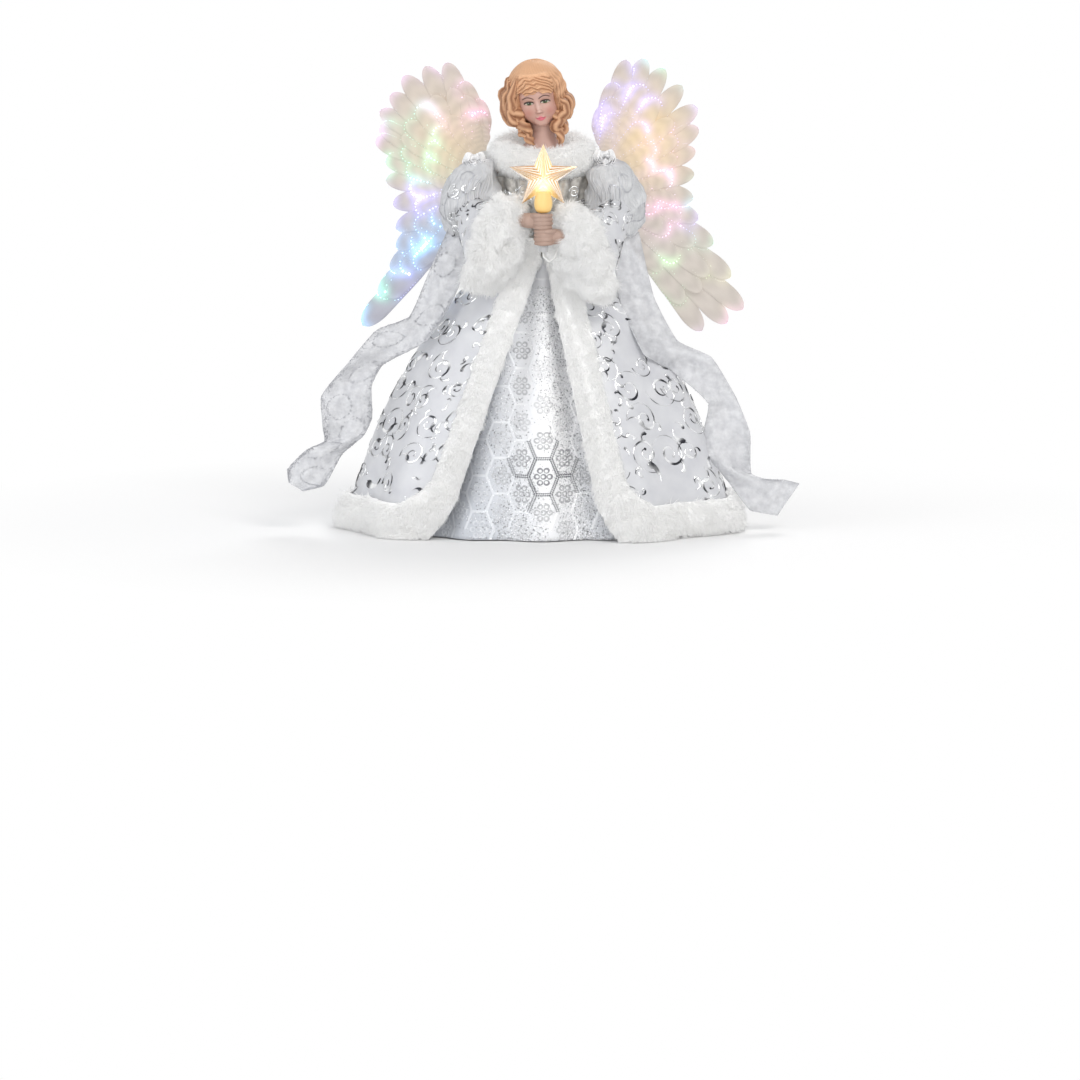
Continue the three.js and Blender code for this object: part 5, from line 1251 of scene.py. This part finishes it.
# Hair colours: the lit and the shaded ends of its painted light and shade
LIT_HAIR = colour_of("#e2b28b")
SHADED_HAIR = colour_of("#7c4a2c")
HAIR_PROFILE = np.array([[22, 0], [21.2, 5], [19.2, 9.6], [16, 13.6], [11, 16.8], [5, 18.8], [-1, 20.2],
                         [-6, 20.6], [-11, 19.6], [-15, 16.8], [-16.5, 13.5]], float)
HAIR_ROWS = 120
HAIR_COLUMNS = 420
HAIR_TOP = 22
HAIR_LENGTH = 38.5
HAIR_BACK = 1.5
FRINGE_END = 2.6
FACE_SPAN = (math.radians(37), math.radians(13))
PARTING = -6.5
RIDGE_RISE = 14.2


def hair_light_and_shade(relief, rise=-6.0):
    """Hair colours, darker in the grooves and low down as painted shade, and lighter on the raised waves as
    painted highlight.
    """
    return lerp(SHADED_HAIR, LIT_HAIR, np.clip(0.62 + 0.42 * relief + 0.014 * rise, 0, 1)[..., None])


def groove_wave(place, pitch):
    """Waves across a place in millimetres, one to each pitch."""
    return np.cos(place * 2 * math.pi / pitch)


spin = around(HAIR_COLUMNS, -math.pi)
share = np.linspace(0, 1, HAIR_ROWS)
outline = spline(HAIR_PROFILE, np.linspace(0, 1, 400))
from_top = HAIR_TOP - outline[:, 0]
covered = smooth_step((np.abs(spin) - FACE_SPAN[0]) / FACE_SPAN[1])
fringe = FRINGE_END + 0.8 * np.sin(9 * spin + 1) + 0.5 * np.sin(21 * spin)
length = lerp(HAIR_TOP - fringe, HAIR_LENGTH, covered)[None, :]
drop = np.minimum(share[:, None] * 1.06, 1) * length
wide = np.interp(drop, from_top, outline[:, 1])
tuck = 1 - 0.22 * np.clip(share[:, None] - 0.95, 0, 1) / 0.05
z = HAIR_TOP - drop
x, y = wide * tuck * np.sin(spin), HAIR_BACK - wide * tuck * np.cos(spin)
mantle = np.stack([x, y, z], -1)
warp = ripple(mantle, 10, 61)
strand = 20 * spin[None, :] + 1.5 * np.sin(z / 2.6 + 2 * np.sin(2 * spin)) + 0.9 * warp[..., 2]
wave = np.sin(z * 2 * math.pi / 7 + 2 * np.sin(3 * spin))
loose = np.clip((17 - z) / 12, 0.12, 1)
cap_relief = loose * (0.6 * groove_wave(strand, 3.4) + 0.25 * groove_wave(strand, 1.5) + 0.4 * wave)
swept = z + 0.3 * np.maximum(x - PARTING, 0) + 0.8 * np.maximum(PARTING - x, 0)
swept = swept + 0.7 * np.sin(2 * math.pi * (x + 3 * warp[..., 1]) / 8.5 + 0.4 * z) + 1.3 * warp[..., 0]
front_relief = 0.6 * groove_wave(swept, 2.7) + 0.4 * np.cos(swept * 2 * math.pi / 1.3 + warp[..., 2])
front_share = smooth_step((RIDGE_RISE - 0.4 - z) / 1.6) * smooth_step((0.85 - np.abs(spin)) / 0.25)
relief = lerp(cap_relief, front_relief, front_share)
ridge = np.exp(-((z - RIDGE_RISE) / 0.9) ** 2) * smooth_step((0.75 - np.abs(spin + 0.1)) / 0.2)
mantle = mantle + unit(mantle - (0, HAIR_BACK, 0)) * (0.75 * relief + 0.9 * ridge)[..., None]
# Hair painted lighter on its waves and ridge and darker in its grooves and low down, as painted light and
# shade
mantle_paint = hair_light_and_shade(relief + ridge, z).reshape(-1, 3)
hair.add(head_turn(mantle), grid_faces(HAIR_ROWS, HAIR_COLUMNS, True), Paint=mantle_paint)

# Locks: rolls and ringlets on each side, and long ones at the back
LOCK_SIDES = 28
LOCK_STEPS = 46
RINGLET_STEPS = 11
RINGLET_DRIFT = {-1: 3.8, 1: 2.2}
ROLL_RISES = {-1: (0, 6), 1: (1,)}
ROLL_START = {-1: 10, 1: 0}
ROLLS = ((-12, 15.5), (-6, 18.6), (1, 19.6), (8, 18), (14, 14))
RINGLETS = ((-12.5, 11.6, -32), (-8, 13.8, -30), (0, 14.2, -28), (8, 12, -26))


def add_lock(points, start, end, strands=4, depth=0.09, twist=6.0):
    """Lock of hair through points given from the middle of the head, thinner at its ends."""
    share = np.linspace(0, 1, LOCK_STEPS)
    radius = lerp(start, end, share) * np.clip(np.minimum(share, 1 - share) * 7, 0.12, 1) ** 0.5
    groove = np.cos(strands * around(LOCK_SIDES)[None, :] + twist * share[:, None])
    # Painted shade in the grooves between the strands of a lock
    paint = hair_light_and_shade(0.8 * groove, -12.0).reshape(-1, 3)
    paint = np.vstack([paint, paint[:1], paint[-1:]])
    path = spline(points, share)
    path = path + 0.9 * ripple(path, 7, 62)
    radius = radius * (1 + 0.12 * ripple(path, 5, 63)[:, 0])
    add_tube(hair, head_turn(path), radius, LOCK_SIDES, strands, depth, twist, Paint=paint)


def add_roll(side, front, wide, rise):
    """Lock that rolls outwards and in again."""
    swing = 1.2 * math.sin(front + side)
    start = ROLL_START[side]
    add_lock([[side * (wide - 1 - start / 4), front * 0.95, rise - 4 + start],
              [side * (wide + 2.4), front, rise - 9 + swing],
              [side * (wide + 1.4), front * 0.97, rise - 14 + swing],
              [side * (wide - 3.5), front * 0.9, rise - 16.5],
              [side * (wide - 6), front * 0.85, rise - 13.5]], 2.6, 3.6)


def add_ringlet(side, front, wide, drop, phase):
    """Lock that hangs down in a coil."""
    coil = np.linspace(0, 1, RINGLET_STEPS)
    twist = coil * 10 + phase
    x = side * (lerp(wide + 1, wide - 2.4, coil) + 1.3 * np.sin(twist)) + RINGLET_DRIFT[side] * coil
    y = lerp(front, front * 0.9, coil) + 1.2 * np.cos(twist)
    add_lock(np.stack([x, y, lerp(-13, drop, coil)], 1), 3.3, 2.4, 3, 0.16, 20)


for side in SIDES:
    for front, wide in ROLLS:
        for rise in ROLL_RISES[side]:
            add_roll(side, front, wide, rise)
    for k, ringlet in enumerate(RINGLETS):
        add_ringlet(side, *ringlet, k * 1.7)
for x in np.linspace(-13, 13, 9):
    add_lock([[x, 18, -8], [x * 1.1, 19.5, -14], [x, 18, -20], [x * 1.15, 17, -26]], 3.8, 2.6, 5, 0.1, 9)
make("hair_moulded", hair, HAIR, ["hair"])

# Hands round the torch, as outwards from the stem, backwards and up
PALM = np.array([[2.0, 5.2, 0], [6.0, 2.6, 0], [9.5, 2.8, 0], [13, 4.4, 0.3], [17.5, 6, 0.6]])
PALM_RADII = [4.3, 5.2, 5.0, 4.6, 4.4]
THUMB = np.array([[7, 1, 3.0], [4.8, -4.2, 4.0], [0.8, -6.0, 4.0]])
THUMB_STEPS = 12
FINGERS = 4
FINGER_STEPS = 24
FINGER_PITCH = 2.6
FUSE_SIZE = 0.32
for side, label in SIDES.items():
    hand = Shape()
    level = HAND_HEIGHT[side] + HAND_LIFT[side]
    stem = (0, TORCH_FRONT, level)
    add_tube(hand, upper(PALM * (side, 1, 1) + stem), PALM_RADII, 20)
    for row in range(FINGERS):
        turn = np.radians(np.linspace(-25, 165 + 8 * (row % 2), FINGER_STEPS))
        from_middle = row - (FINGERS - 1) / 2
        grip = 5.5 - 0.25 * abs(from_middle)
        path = points_of(side * grip * np.cos(turn), TORCH_FRONT - grip * np.sin(turn),
                         level + from_middle * FINGER_PITCH)
        knuckle = 1.4 + 0.12 * np.cos(turn * 4) - 0.25 * np.clip(np.linspace(-3, 1, FINGER_STEPS), 0, 1)
        add_tube(hand, upper(path), knuckle, 14)
    thumb = spline(THUMB * (side, 1, 1) + stem, np.linspace(0, 1, THUMB_STEPS))
    add_tube(hand, upper(thumb), np.linspace(2.0, 1.4, THUMB_STEPS), 12)
    made = make(f"hand_{label}_skin", hand, SKIN, [f"hand_{label}"])
    fuse = made.modifiers.new("fuse", "REMESH")
    fuse.mode = "VOXEL"
    fuse.voxel_size = FUSE_SIZE * MM
    fuse.use_smooth_shade = True
    soften = made.modifiers.new("soften", "SMOOTH")
    soften.iterations = 4

# Lamp cup, glowing with painted light of the lamp inside it, paler upwards
CUP_FOOT = 31.8
CUP_STEPS = 40
CUP_SIDES = 48
CUP_PROFILE = [[0.8, 0], [3.4, 0.2], [4.7, 1.2], [5.6, 3.4], [5.9, 6.0], [5.6, 8.8], [5.0, 11.4],
               [4.4, 13.6], [3.2, 14]]
profile = spline(CUP_PROFILE, np.linspace(0, 1, CUP_STEPS))
turn = around(CUP_SIDES)[None, :]
radius, rise = profile[:, :1], profile[:, 1:]
cup = points_of(radius * np.sin(turn), TORCH_FRONT - radius * np.cos(turn), CUP_FOOT + rise)
painted_cup_glow = lerp(colour_of("#e0a850"), colour_of("#fff0b8"), smooth_step(rise / 5)[..., None])
painted_cup_glow = np.broadcast_to(painted_cup_glow, cup.shape).reshape(-1, 3)
cup_shape = Shape().add(upper(cup), grid_faces(CUP_STEPS, CUP_SIDES, True), Glow=painted_cup_glow)
make("lamp_cup_glow", cup_shape, CREAM, ["lamp_cup"])

# Star of flat facets with fine ridges, with painted glow and painted gold near its core standing for the
# lamp that lights it from its foot
FACET_STEPS = 16
STAR_POINTS = 5
CORE_DROP = 5.5
CORE_SIZE = 4.8
GOLD_SIZE = 15
# Colours of the star's painted glow, strongest at a core low in it and on the top point
CORE_GLOW = colour_of("#fff8e0")
GOLD_GLOW = colour_of("#f0b850")
TIP_GLOW = colour_of("#ffe488")
PALE_TINT = colour_of("#f8ecc9")
LIT_GOLD_TINT = colour_of("#c08c3c")
star = Shape()
star_outer = STAR_HALF_WIDTH / math.cos(math.radians(18))
star_rise = STAR_HEIGHT / (1 + math.cos(math.radians(36)))
star_middle = np.array([0, TORCH_FRONT, STAR_FOOT + STAR_WAIST * star_rise])
steps = np.linspace(0, 1, FACET_STEPS + 1)
along, out = steps[:, None, None], steps[None, :, None]


def star_corner(turn):
    """Place of a point of the star at a turn from its top."""
    return np.array([star_outer * math.sin(turn), 0, star_rise * math.cos(turn)])


def add_facet(point, half, face):
    """One of the two facets on one face of a point."""
    tip_turn = point * 2 * math.pi / STAR_POINTS
    tip = star_corner(tip_turn)
    dip = STAR_DIP * star_corner(tip_turn + half * math.pi / STAR_POINTS)
    hub = np.array([0, face * STAR_HALF_DEPTH, 0])
    flat = lerp(lerp(hub, tip, along), lerp(dip, tip, along), out)
    ridge = 0.7 * np.abs((out * 4) % 1 - 0.5) * (1 - along) * np.sin(math.pi * out)
    flat = flat + np.array([0, face, 0]) * ridge
    core = np.linalg.norm((flat + (0, 0, CORE_DROP)) * (1, 0.4, 0.8), axis=-1)
    heat = np.exp(-(core / CORE_SIZE) ** 2)[..., None]
    gold = np.exp(-(core / GOLD_SIZE) ** 2)[..., None]
    line = (0.5 + 0.5 * np.cos(out * 8 * math.pi)) * np.ones(gold.shape)
    glow = heat * CORE_GLOW * 0.95 + (0.3 * gold + 0.2) * GOLD_GLOW * line
    glow = glow + 0.3 * TIP_GLOW * (tip[2] > 0.9 * star_rise) * (0.35 + 0.65 * line)
    # Tint of the plastic, painted golder along the ridges near the lit core
    tint = lerp(PALE_TINT, LIT_GOLD_TINT, 0.7 + 0.3 * gold * line)
    faces = grid_faces(FACET_STEPS + 1, FACET_STEPS + 1)
    faces = faces if half * face > 0 else faces[:, ::-1]
    star.add(upper(flat + star_middle), faces, Glow=glow.reshape(-1, 3), Paint=tint.reshape(-1, 3))


for point in range(STAR_POINTS):
    for half in (-1, 1):
        for face in (-1, 1):
            add_facet(point, half, face)
lens = make("star_facets", star, CLEAR, ["star_lens"], "star")
lens.data.polygons.foreach_set("use_smooth", np.zeros(len(lens.data.polygons), bool))

# Wings, with each layer's name, count of feathers, width, reach and depth
WING_EDGE = {
    -1: [[10, 96], [31, 118], [59, 109], [76, 88], [77, 68], [70, 42], [65, 10], [69, -18], [87, -54]],
    1: [[6, 92], [22, 120], [48, 117], [69, 90], [69, 62], [67, 30], [79, 0], [98, -42], [73, -58]],
}
LAYERS = (("long", 17, 14.0, 1.0, 7.3), ("middle", 15, 13.5, 0.75, 5.1), ("covert", 11, 13.0, 0.5, 4.3))
FEATHER_ROWS = 48
FEATHER_COLUMNS = 11
# Share of each feather's colour that glows as painted light through it
PAINTED_THROUGH_GLOW = 0.43
TIP_BEND = 0.46
LIGHT_LIFT = 0.75
GLOW_SIZE = 3.8
GLOW_SHARE = 0.22
LOW_POWER = {-1: 2.0, 1: 0.65}
CREST_SIZE = 9
# Warm pool of painted light in the middle of each wing, as glow and in the feathers' colour
WARM_MIDDLE = {-1: (29, 64), 1: (35, 69)}
WARM_SIZE = (25, 28)
WARM_GLOW = {-1: 0.07, 1: 0.17}
WARM_SHARE = {-1: 0.5, 1: 0.8}
WARM_LIGHT = colour_of("#ffc452")
WARM_LIT_FEATHER = colour_of("#ecd9b4")
HIGH_FEATHER = colour_of("#dacfc4")
LOW_FEATHER = {-1: colour_of("#c3c3ce"), 1: colour_of("#ded5cc")}
# Hues of the lights, and where each glows on a wing, as outwards from its post and up
HUES = dict(lilac="#d0a2f4", rose="#f4a4e2", mint="#78f2c4", violet="#908cff", sky="#70c2ff", aqua="#88def4",
            lime="#cdf088", leaf="#86ee9c", cream="#f0eaa0")
LIGHTS = {
    -1: dict(lilac=[(43, 114), (72, 95), (78, 71)], rose=[(16, 85)],
             mint=[(62, 76), (64, 58), (47, 54), (73, -33)],
             violet=[(50, 29), (74, 25), (58, -29)], sky=[(43, 8), (60, -7), (86, -52)]),
    1: dict(violet=[(24, 117), (31, 100), (46, 94), (11, 88), (71, 17)], aqua=[(38, 119), (66, 32)],
            mint=[(51, 114), (71, 47), (79, 1)], lilac=[(54, 71), (71, -56)],
            rose=[(61, 52), (50, 23), (94, -50)],
            lime=[(73, -17)], leaf=[(56, -27)], cream=[(81, -35)]),
}


def wing_points(side, out, back, up):
    """Points of a wing given outwards from its post, backwards and up."""
    swept = points_of(*turned(side * out, back, side * WING_SWEEP), up)
    return upper(swept + (side * POST_OUT, POST_BACK, 0))


def feather_form(root, tip, width):
    """Places along and across a feather, as outwards and up, with its shares."""
    axis = tip - root
    length = np.linalg.norm(axis)
    axis = axis / length
    across = np.array([axis[1], -axis[0]])
    share = np.linspace(0, 1, FEATHER_ROWS)[:, None]
    out = np.linspace(-1, 1, FEATHER_COLUMNS)[None, :]
    shoulder = 1 - 1.15 * width / length
    round_off = np.sqrt(np.clip(1 - ((share - shoulder) / (1 - shoulder)).clip(0, 0.995) ** 2, 0, 1))
    half = width / 2 * lerp(0.3, 1, smooth_step(share / 0.6)) * round_off
    flat = root + axis * (share * length)[..., None] + across * (half * out)[..., None]
    return flat, share + 0 * out, out + 0 * share


def light_hues(side, spots):
    """Colour at each spot of a wing, mixed from the lights near it."""
    anchors = np.array([place for places in LIGHTS[side].values() for place in places], float)
    colours = np.array([colour_of(HUES[hue]) for hue, places in LIGHTS[side].items() for _ in places])
    weight = (((spots[:, None] - anchors[None]) ** 2).sum(-1) + 4) ** -2.5
    return weight @ colours / weight.sum(1, keepdims=True)


def tip_lights(rng, side, root, tip, broad, outer):
    """Spots of light round the tip of a feather and down its sides, with the colour of each."""
    axis = unit(tip - root)
    square = np.array([axis[1], -axis[0]])
    bend = broad * TIP_BEND
    quarter = bend * math.pi / 2
    leg, pitch, strength = (6, 1.2, 0.55) if outer else (22, 2.3, 1.15)
    stretch = np.arange(-leg - quarter, leg + quarter, pitch)
    arc = np.clip(stretch / bend, -math.pi / 2, math.pi / 2)
    down = np.maximum(np.abs(stretch) - quarter, 0)
    hub = tip - axis * bend
    ring = hub + bend * (np.cos(arc)[:, None] * axis + np.sin(arc)[:, None] * square) - down[:, None] * axis
    lit = rng.uniform(0.5, 0.8) if outer else rng.choice([0.3, 0.7, 1.0])
    one_leg = np.where(stretch * rng.choice([-1, 1]) > bend, 0.25, 1.0)
    power = lit * one_leg * rng.uniform(0.35, 1.0, len(arc)) * np.exp(-down / 16) * strength
    power = power * lerp(1, LOW_POWER[side], smooth_step((40 - tip[1]) / 40))
    crest = rng.uniform(-0.7, 0.7) * stretch[-1]
    power = power * (0.3 + 1.15 * np.exp(-((stretch - crest) / CREST_SIZE) ** 2))
    keep = rng.random(len(arc)) < lit * one_leg + 0.15
    return ring[keep], (light_hues(side, ring) * power[:, None])[keep]


def vane_colours(side, flat, along, out, dots, dot_colours):
    """Paint of a feather, warmed in the middle of the wing as painted light, and the painted glow that the
    lights near it and the warm middle spread over it.
    """
    spots = flat.reshape(-1, 2)
    apart = ((spots[:, None] - dots[None, :, :2]) ** 2).sum(-1)
    glow = np.exp(-apart / GLOW_SIZE ** 2) @ dot_colours * GLOW_SHARE
    from_warm = spots - WARM_MIDDLE[side]
    warm_light_pool = spot(from_warm[:, :1], WARM_SIZE[0], from_warm[:, 1:], WARM_SIZE[1])
    glow = glow + warm_light_pool * WARM_LIGHT * WARM_GLOW[side]
    barb = (0.95 + 0.05 * np.sin(along * 260 - np.abs(out) * 34)).reshape(-1, 1)
    paint = lerp(HIGH_FEATHER, LOW_FEATHER[side], smooth_step((50 - spots[:, 1:]) / 60))
    return lerp(paint, WARM_LIT_FEATHER, WARM_SHARE[side] * warm_light_pool) * barb, glow


def add_wing(side, label):
    """Feathers and fibre lights of one wing."""
    rng = np.random.default_rng(90 + side)
    vanes, dots, dot_colours = [], [], []
    for layer, count, width, reach, depth in LAYERS:
        for share in np.linspace(0, 1, count):
            root = lerp(WING_ROOT[0], WING_ROOT[1], share)
            tip = spline(WING_EDGE[side], [share], 0.0)[0]
            tip = root + (tip - root) * reach * rng.uniform(0.96, 1.02)
            broad = width * rng.uniform(0.94, 1.06)
            flat, along, out = feather_form(root, tip, broad)
            shingle = 0.25 * out + 0.15 * (out ** 2 - 0.4) - 0.15 * np.exp(-(out / 0.1) ** 2)
            vanes.append((flat, depth - shingle * along, along, out))
            ring, colours = tip_lights(rng, side, root, tip, broad, layer == "long")
            dots.append(np.column_stack([ring, np.full(len(ring), depth - LIGHT_LIFT)]))
            dot_colours.append(colours)
    dots, dot_colours = np.vstack(dots), np.vstack(dot_colours)
    radius = 0.22 + 0.55 * dot_colours.max(1)
    sparks = Shape()
    add_balls(sparks, wing_points(side, dots[:, 0], dots[:, 2], dots[:, 1]), radius, Paint=dot_colours)
    feathers = Shape()
    faces = grid_faces(FEATHER_ROWS, FEATHER_COLUMNS)
    for flat, back, along, out in vanes:
        paint, glow = vane_colours(side, flat, along, out, dots, dot_colours)
        points = wing_points(side, flat[..., 0], back, flat[..., 1])
        # Feathers painted at half their colour, with the painted glow making up the rest
        feathers.add(points, faces, Paint=0.5 * paint, Glow=glow + PAINTED_THROUGH_GLOW * paint)
    body = f"wing_{label}"
    nodes = [f"long_feathers_{label}", f"covert_feathers_{label}"]
    make(f"feathers_{label}", feathers, FEATHER, nodes, body, thick=0.15)
    make(f"fibre_lights_{label}", sparks, SPARK, (), body)


for side, label in SIDES.items():
    add_wing(side, label)

# Solids that stay as they are: colour, roughness, metal and nodes of each finish
EDGE_WIDTH = 0.25
KEPT = {
    "paper_cone": ("#d8d2c6", 0.9, 0.0, ["cone_former"]),
    "white_plastic": ("#dededb", 0.45, 0.0,
                      ["torso_front", "torso_back", "light_housing", "ferrule_lid", "wing_bracket",
                       "wing_spine_left", "wing_spine_right", "battery_case", "battery_cover",
                       "switch_button"]),
    # Torch stem grey as for silver paint, and dark enough to stand in for the shade of the gap between the
    # bands where it stands
    "torch": ("#b5b5b6", 0.45, 0.0, ["torch_stem"]),
    "skin": ("#c3a497", 0.6, 0.0, ["arm_left", "arm_right"]),
    "lamp_glass": ("#fff6d8", 0.2, 0.0, ["star_lamp"]),
    "board": ("#2f6b45", 0.5, 0.0, ["led_board"]),
    "steel": ("#b9bcc0", 0.3, 1.0,
              ["bracket_screw_1", "bracket_screw_2", "lid_screw_left", "lid_screw_right",
               "contact_strip_top", "contact_strip_foot"]),
    "lead": ("#dcdcda", 0.5, 0.0, ["battery_lead", "star_lead"]),
    "fibre": ("#eceef0", 0.2, 0.0,
              ["fibre_bundle_left", "fibre_bundle_right", "fibre_fan_left", "fibre_fan_right"]),
    "cell": ("#3d5f8c", 0.35, 0.3, ["cell_1", "cell_2", "cell_3"]),
}
for slot, (code, rough, metal, nodes) in KEPT.items():
    finish = Finish(slot, code, rough, Metallic=metal)
    finish.rough(1.5, 0.08)
    for node in nodes:
        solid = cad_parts[node]
        solid.data.materials.clear()
        solid.data.materials.append(finish.material)
        edge = solid.modifiers.new("edge", "BEVEL")
        edge.width = EDGE_WIDTH * MM
        edge.segments = 2
        edge.limit_method = "ANGLE"

# Foam pad behind the battery case
FOAM_EDGE = 0.8
FOAM = Finish("foam", "#9a9a96", 1.0)
FOAM.rough(0.8, 0.8)
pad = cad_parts["case_pad"]
foam = pad.copy()
foam.data = pad.data.copy()
foam.name = "case_pad_foam"
scene.collection.objects.link(foam)
foam.data.materials.clear()
foam.data.materials.append(FOAM.material)
soft = foam.modifiers.new("soft_edge", "BEVEL")
soft.width = FOAM_EDGE * MM
soft.segments = 3
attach(foam, "root")
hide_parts("case_pad")


# Light
SHADE = (0.5, 0.503, 0.51, 1)
LAMP_AIM = Vector((0, 0, 0.15))
FLOOR_REACH = 4
FLOOR_FADE = (0.16, 0.42)


def shows_through(tree):
    """1 on rays from the camera, mirrored or through glass, which see the white round the object."""
    path = tree.nodes.new("ShaderNodeLightPath")
    factor = path.outputs["Is Camera Ray"]
    for kind in ("Is Glossy Ray", "Is Transmission Ray"):
        either = tree.nodes.new("ShaderNodeMath")
        either.operation = "MAXIMUM"
        tree.links.new(factor, either.inputs[0])
        tree.links.new(path.outputs[kind], either.inputs[1])
        factor = either.outputs[0]
    return factor


world = bpy.data.worlds.new("studio")
scene.world = world
world.use_nodes = True
tree = world.node_tree
shade = tree.nodes["Background"]
shade.inputs["Color"].default_value = SHADE
white = tree.nodes.new("ShaderNodeBackground")
white.inputs["Color"].default_value = (1, 1, 1, 1)
mix = tree.nodes.new("ShaderNodeMixShader")
tree.links.new(shows_through(tree), mix.inputs[0])
tree.links.new(shade.outputs[0], mix.inputs[1])
tree.links.new(white.outputs[0], mix.inputs[2])
tree.links.new(mix.outputs[0], tree.nodes["World Output"].inputs["Surface"])


def add_lamp(name, place, size, power, colour):
    lamp = bpy.data.objects.new(name, bpy.data.lights.new(name, "AREA"))
    lamp.data.size = size
    lamp.data.energy = power
    lamp.data.color = colour
    lamp.location = place
    lamp.rotation_euler = (LAMP_AIM - lamp.location).to_track_quat("-Z", "Y").to_euler()
    scene.collection.objects.link(lamp)


add_lamp("key", (0.8, -1.5, 1.5), 0.9, 16.5, (1, 0.985, 0.96))
add_lamp("front", (-0.1, -2.2, 0.5), 0.8, 7, (1, 1, 1))
add_lamp("fill", (-1.6, -1.0, 0.7), 1.2, 9, (0.95, 0.97, 1))
add_lamp("back", (0.4, 1.4, 1.3), 0.8, 12, (1, 1, 1))

# Floor, white where it is far from the object
floor_mesh = bpy.data.meshes.new("floor")
floor_turns = [(-1, -1), (1, -1), (1, 1), (-1, 1)]
floor_mesh.from_pydata([(x * FLOOR_REACH, y * FLOOR_REACH, 0) for x, y in floor_turns], [], [(0, 1, 2, 3)])
floor = bpy.data.objects.new("floor", floor_mesh)
scene.collection.objects.link(floor)
FLOOR = Finish("floor", "#f8f8f8", 0.9)
floor_mesh.materials.append(FLOOR.material)
glow = FLOOR.node("ShaderNodeEmission", values={"Strength": 1.0})
span = FLOOR.node("ShaderNodeVectorMath", {0: FLOOR.place()}, operation="LENGTH")
limits = {"From Min": FLOOR_FADE[0], "From Max": FLOOR_FADE[1]}
fade = FLOOR.node("ShaderNodeMapRange", {"Value": span.outputs["Value"]}, limits)
factors = {0: fade.outputs["Result"], 1: shows_through(FLOOR.tree)}
white = FLOOR.node("ShaderNodeMath", factors, operation="MULTIPLY")
sides = {0: white.outputs[0], 1: FLOOR.shader.outputs[0], 2: glow.outputs[0]}
seen = FLOOR.node("ShaderNodeMixShader", sides)
FLOOR.tree.links.new(seen.outputs[0], FLOOR.tree.nodes["Material Output"].inputs["Surface"])
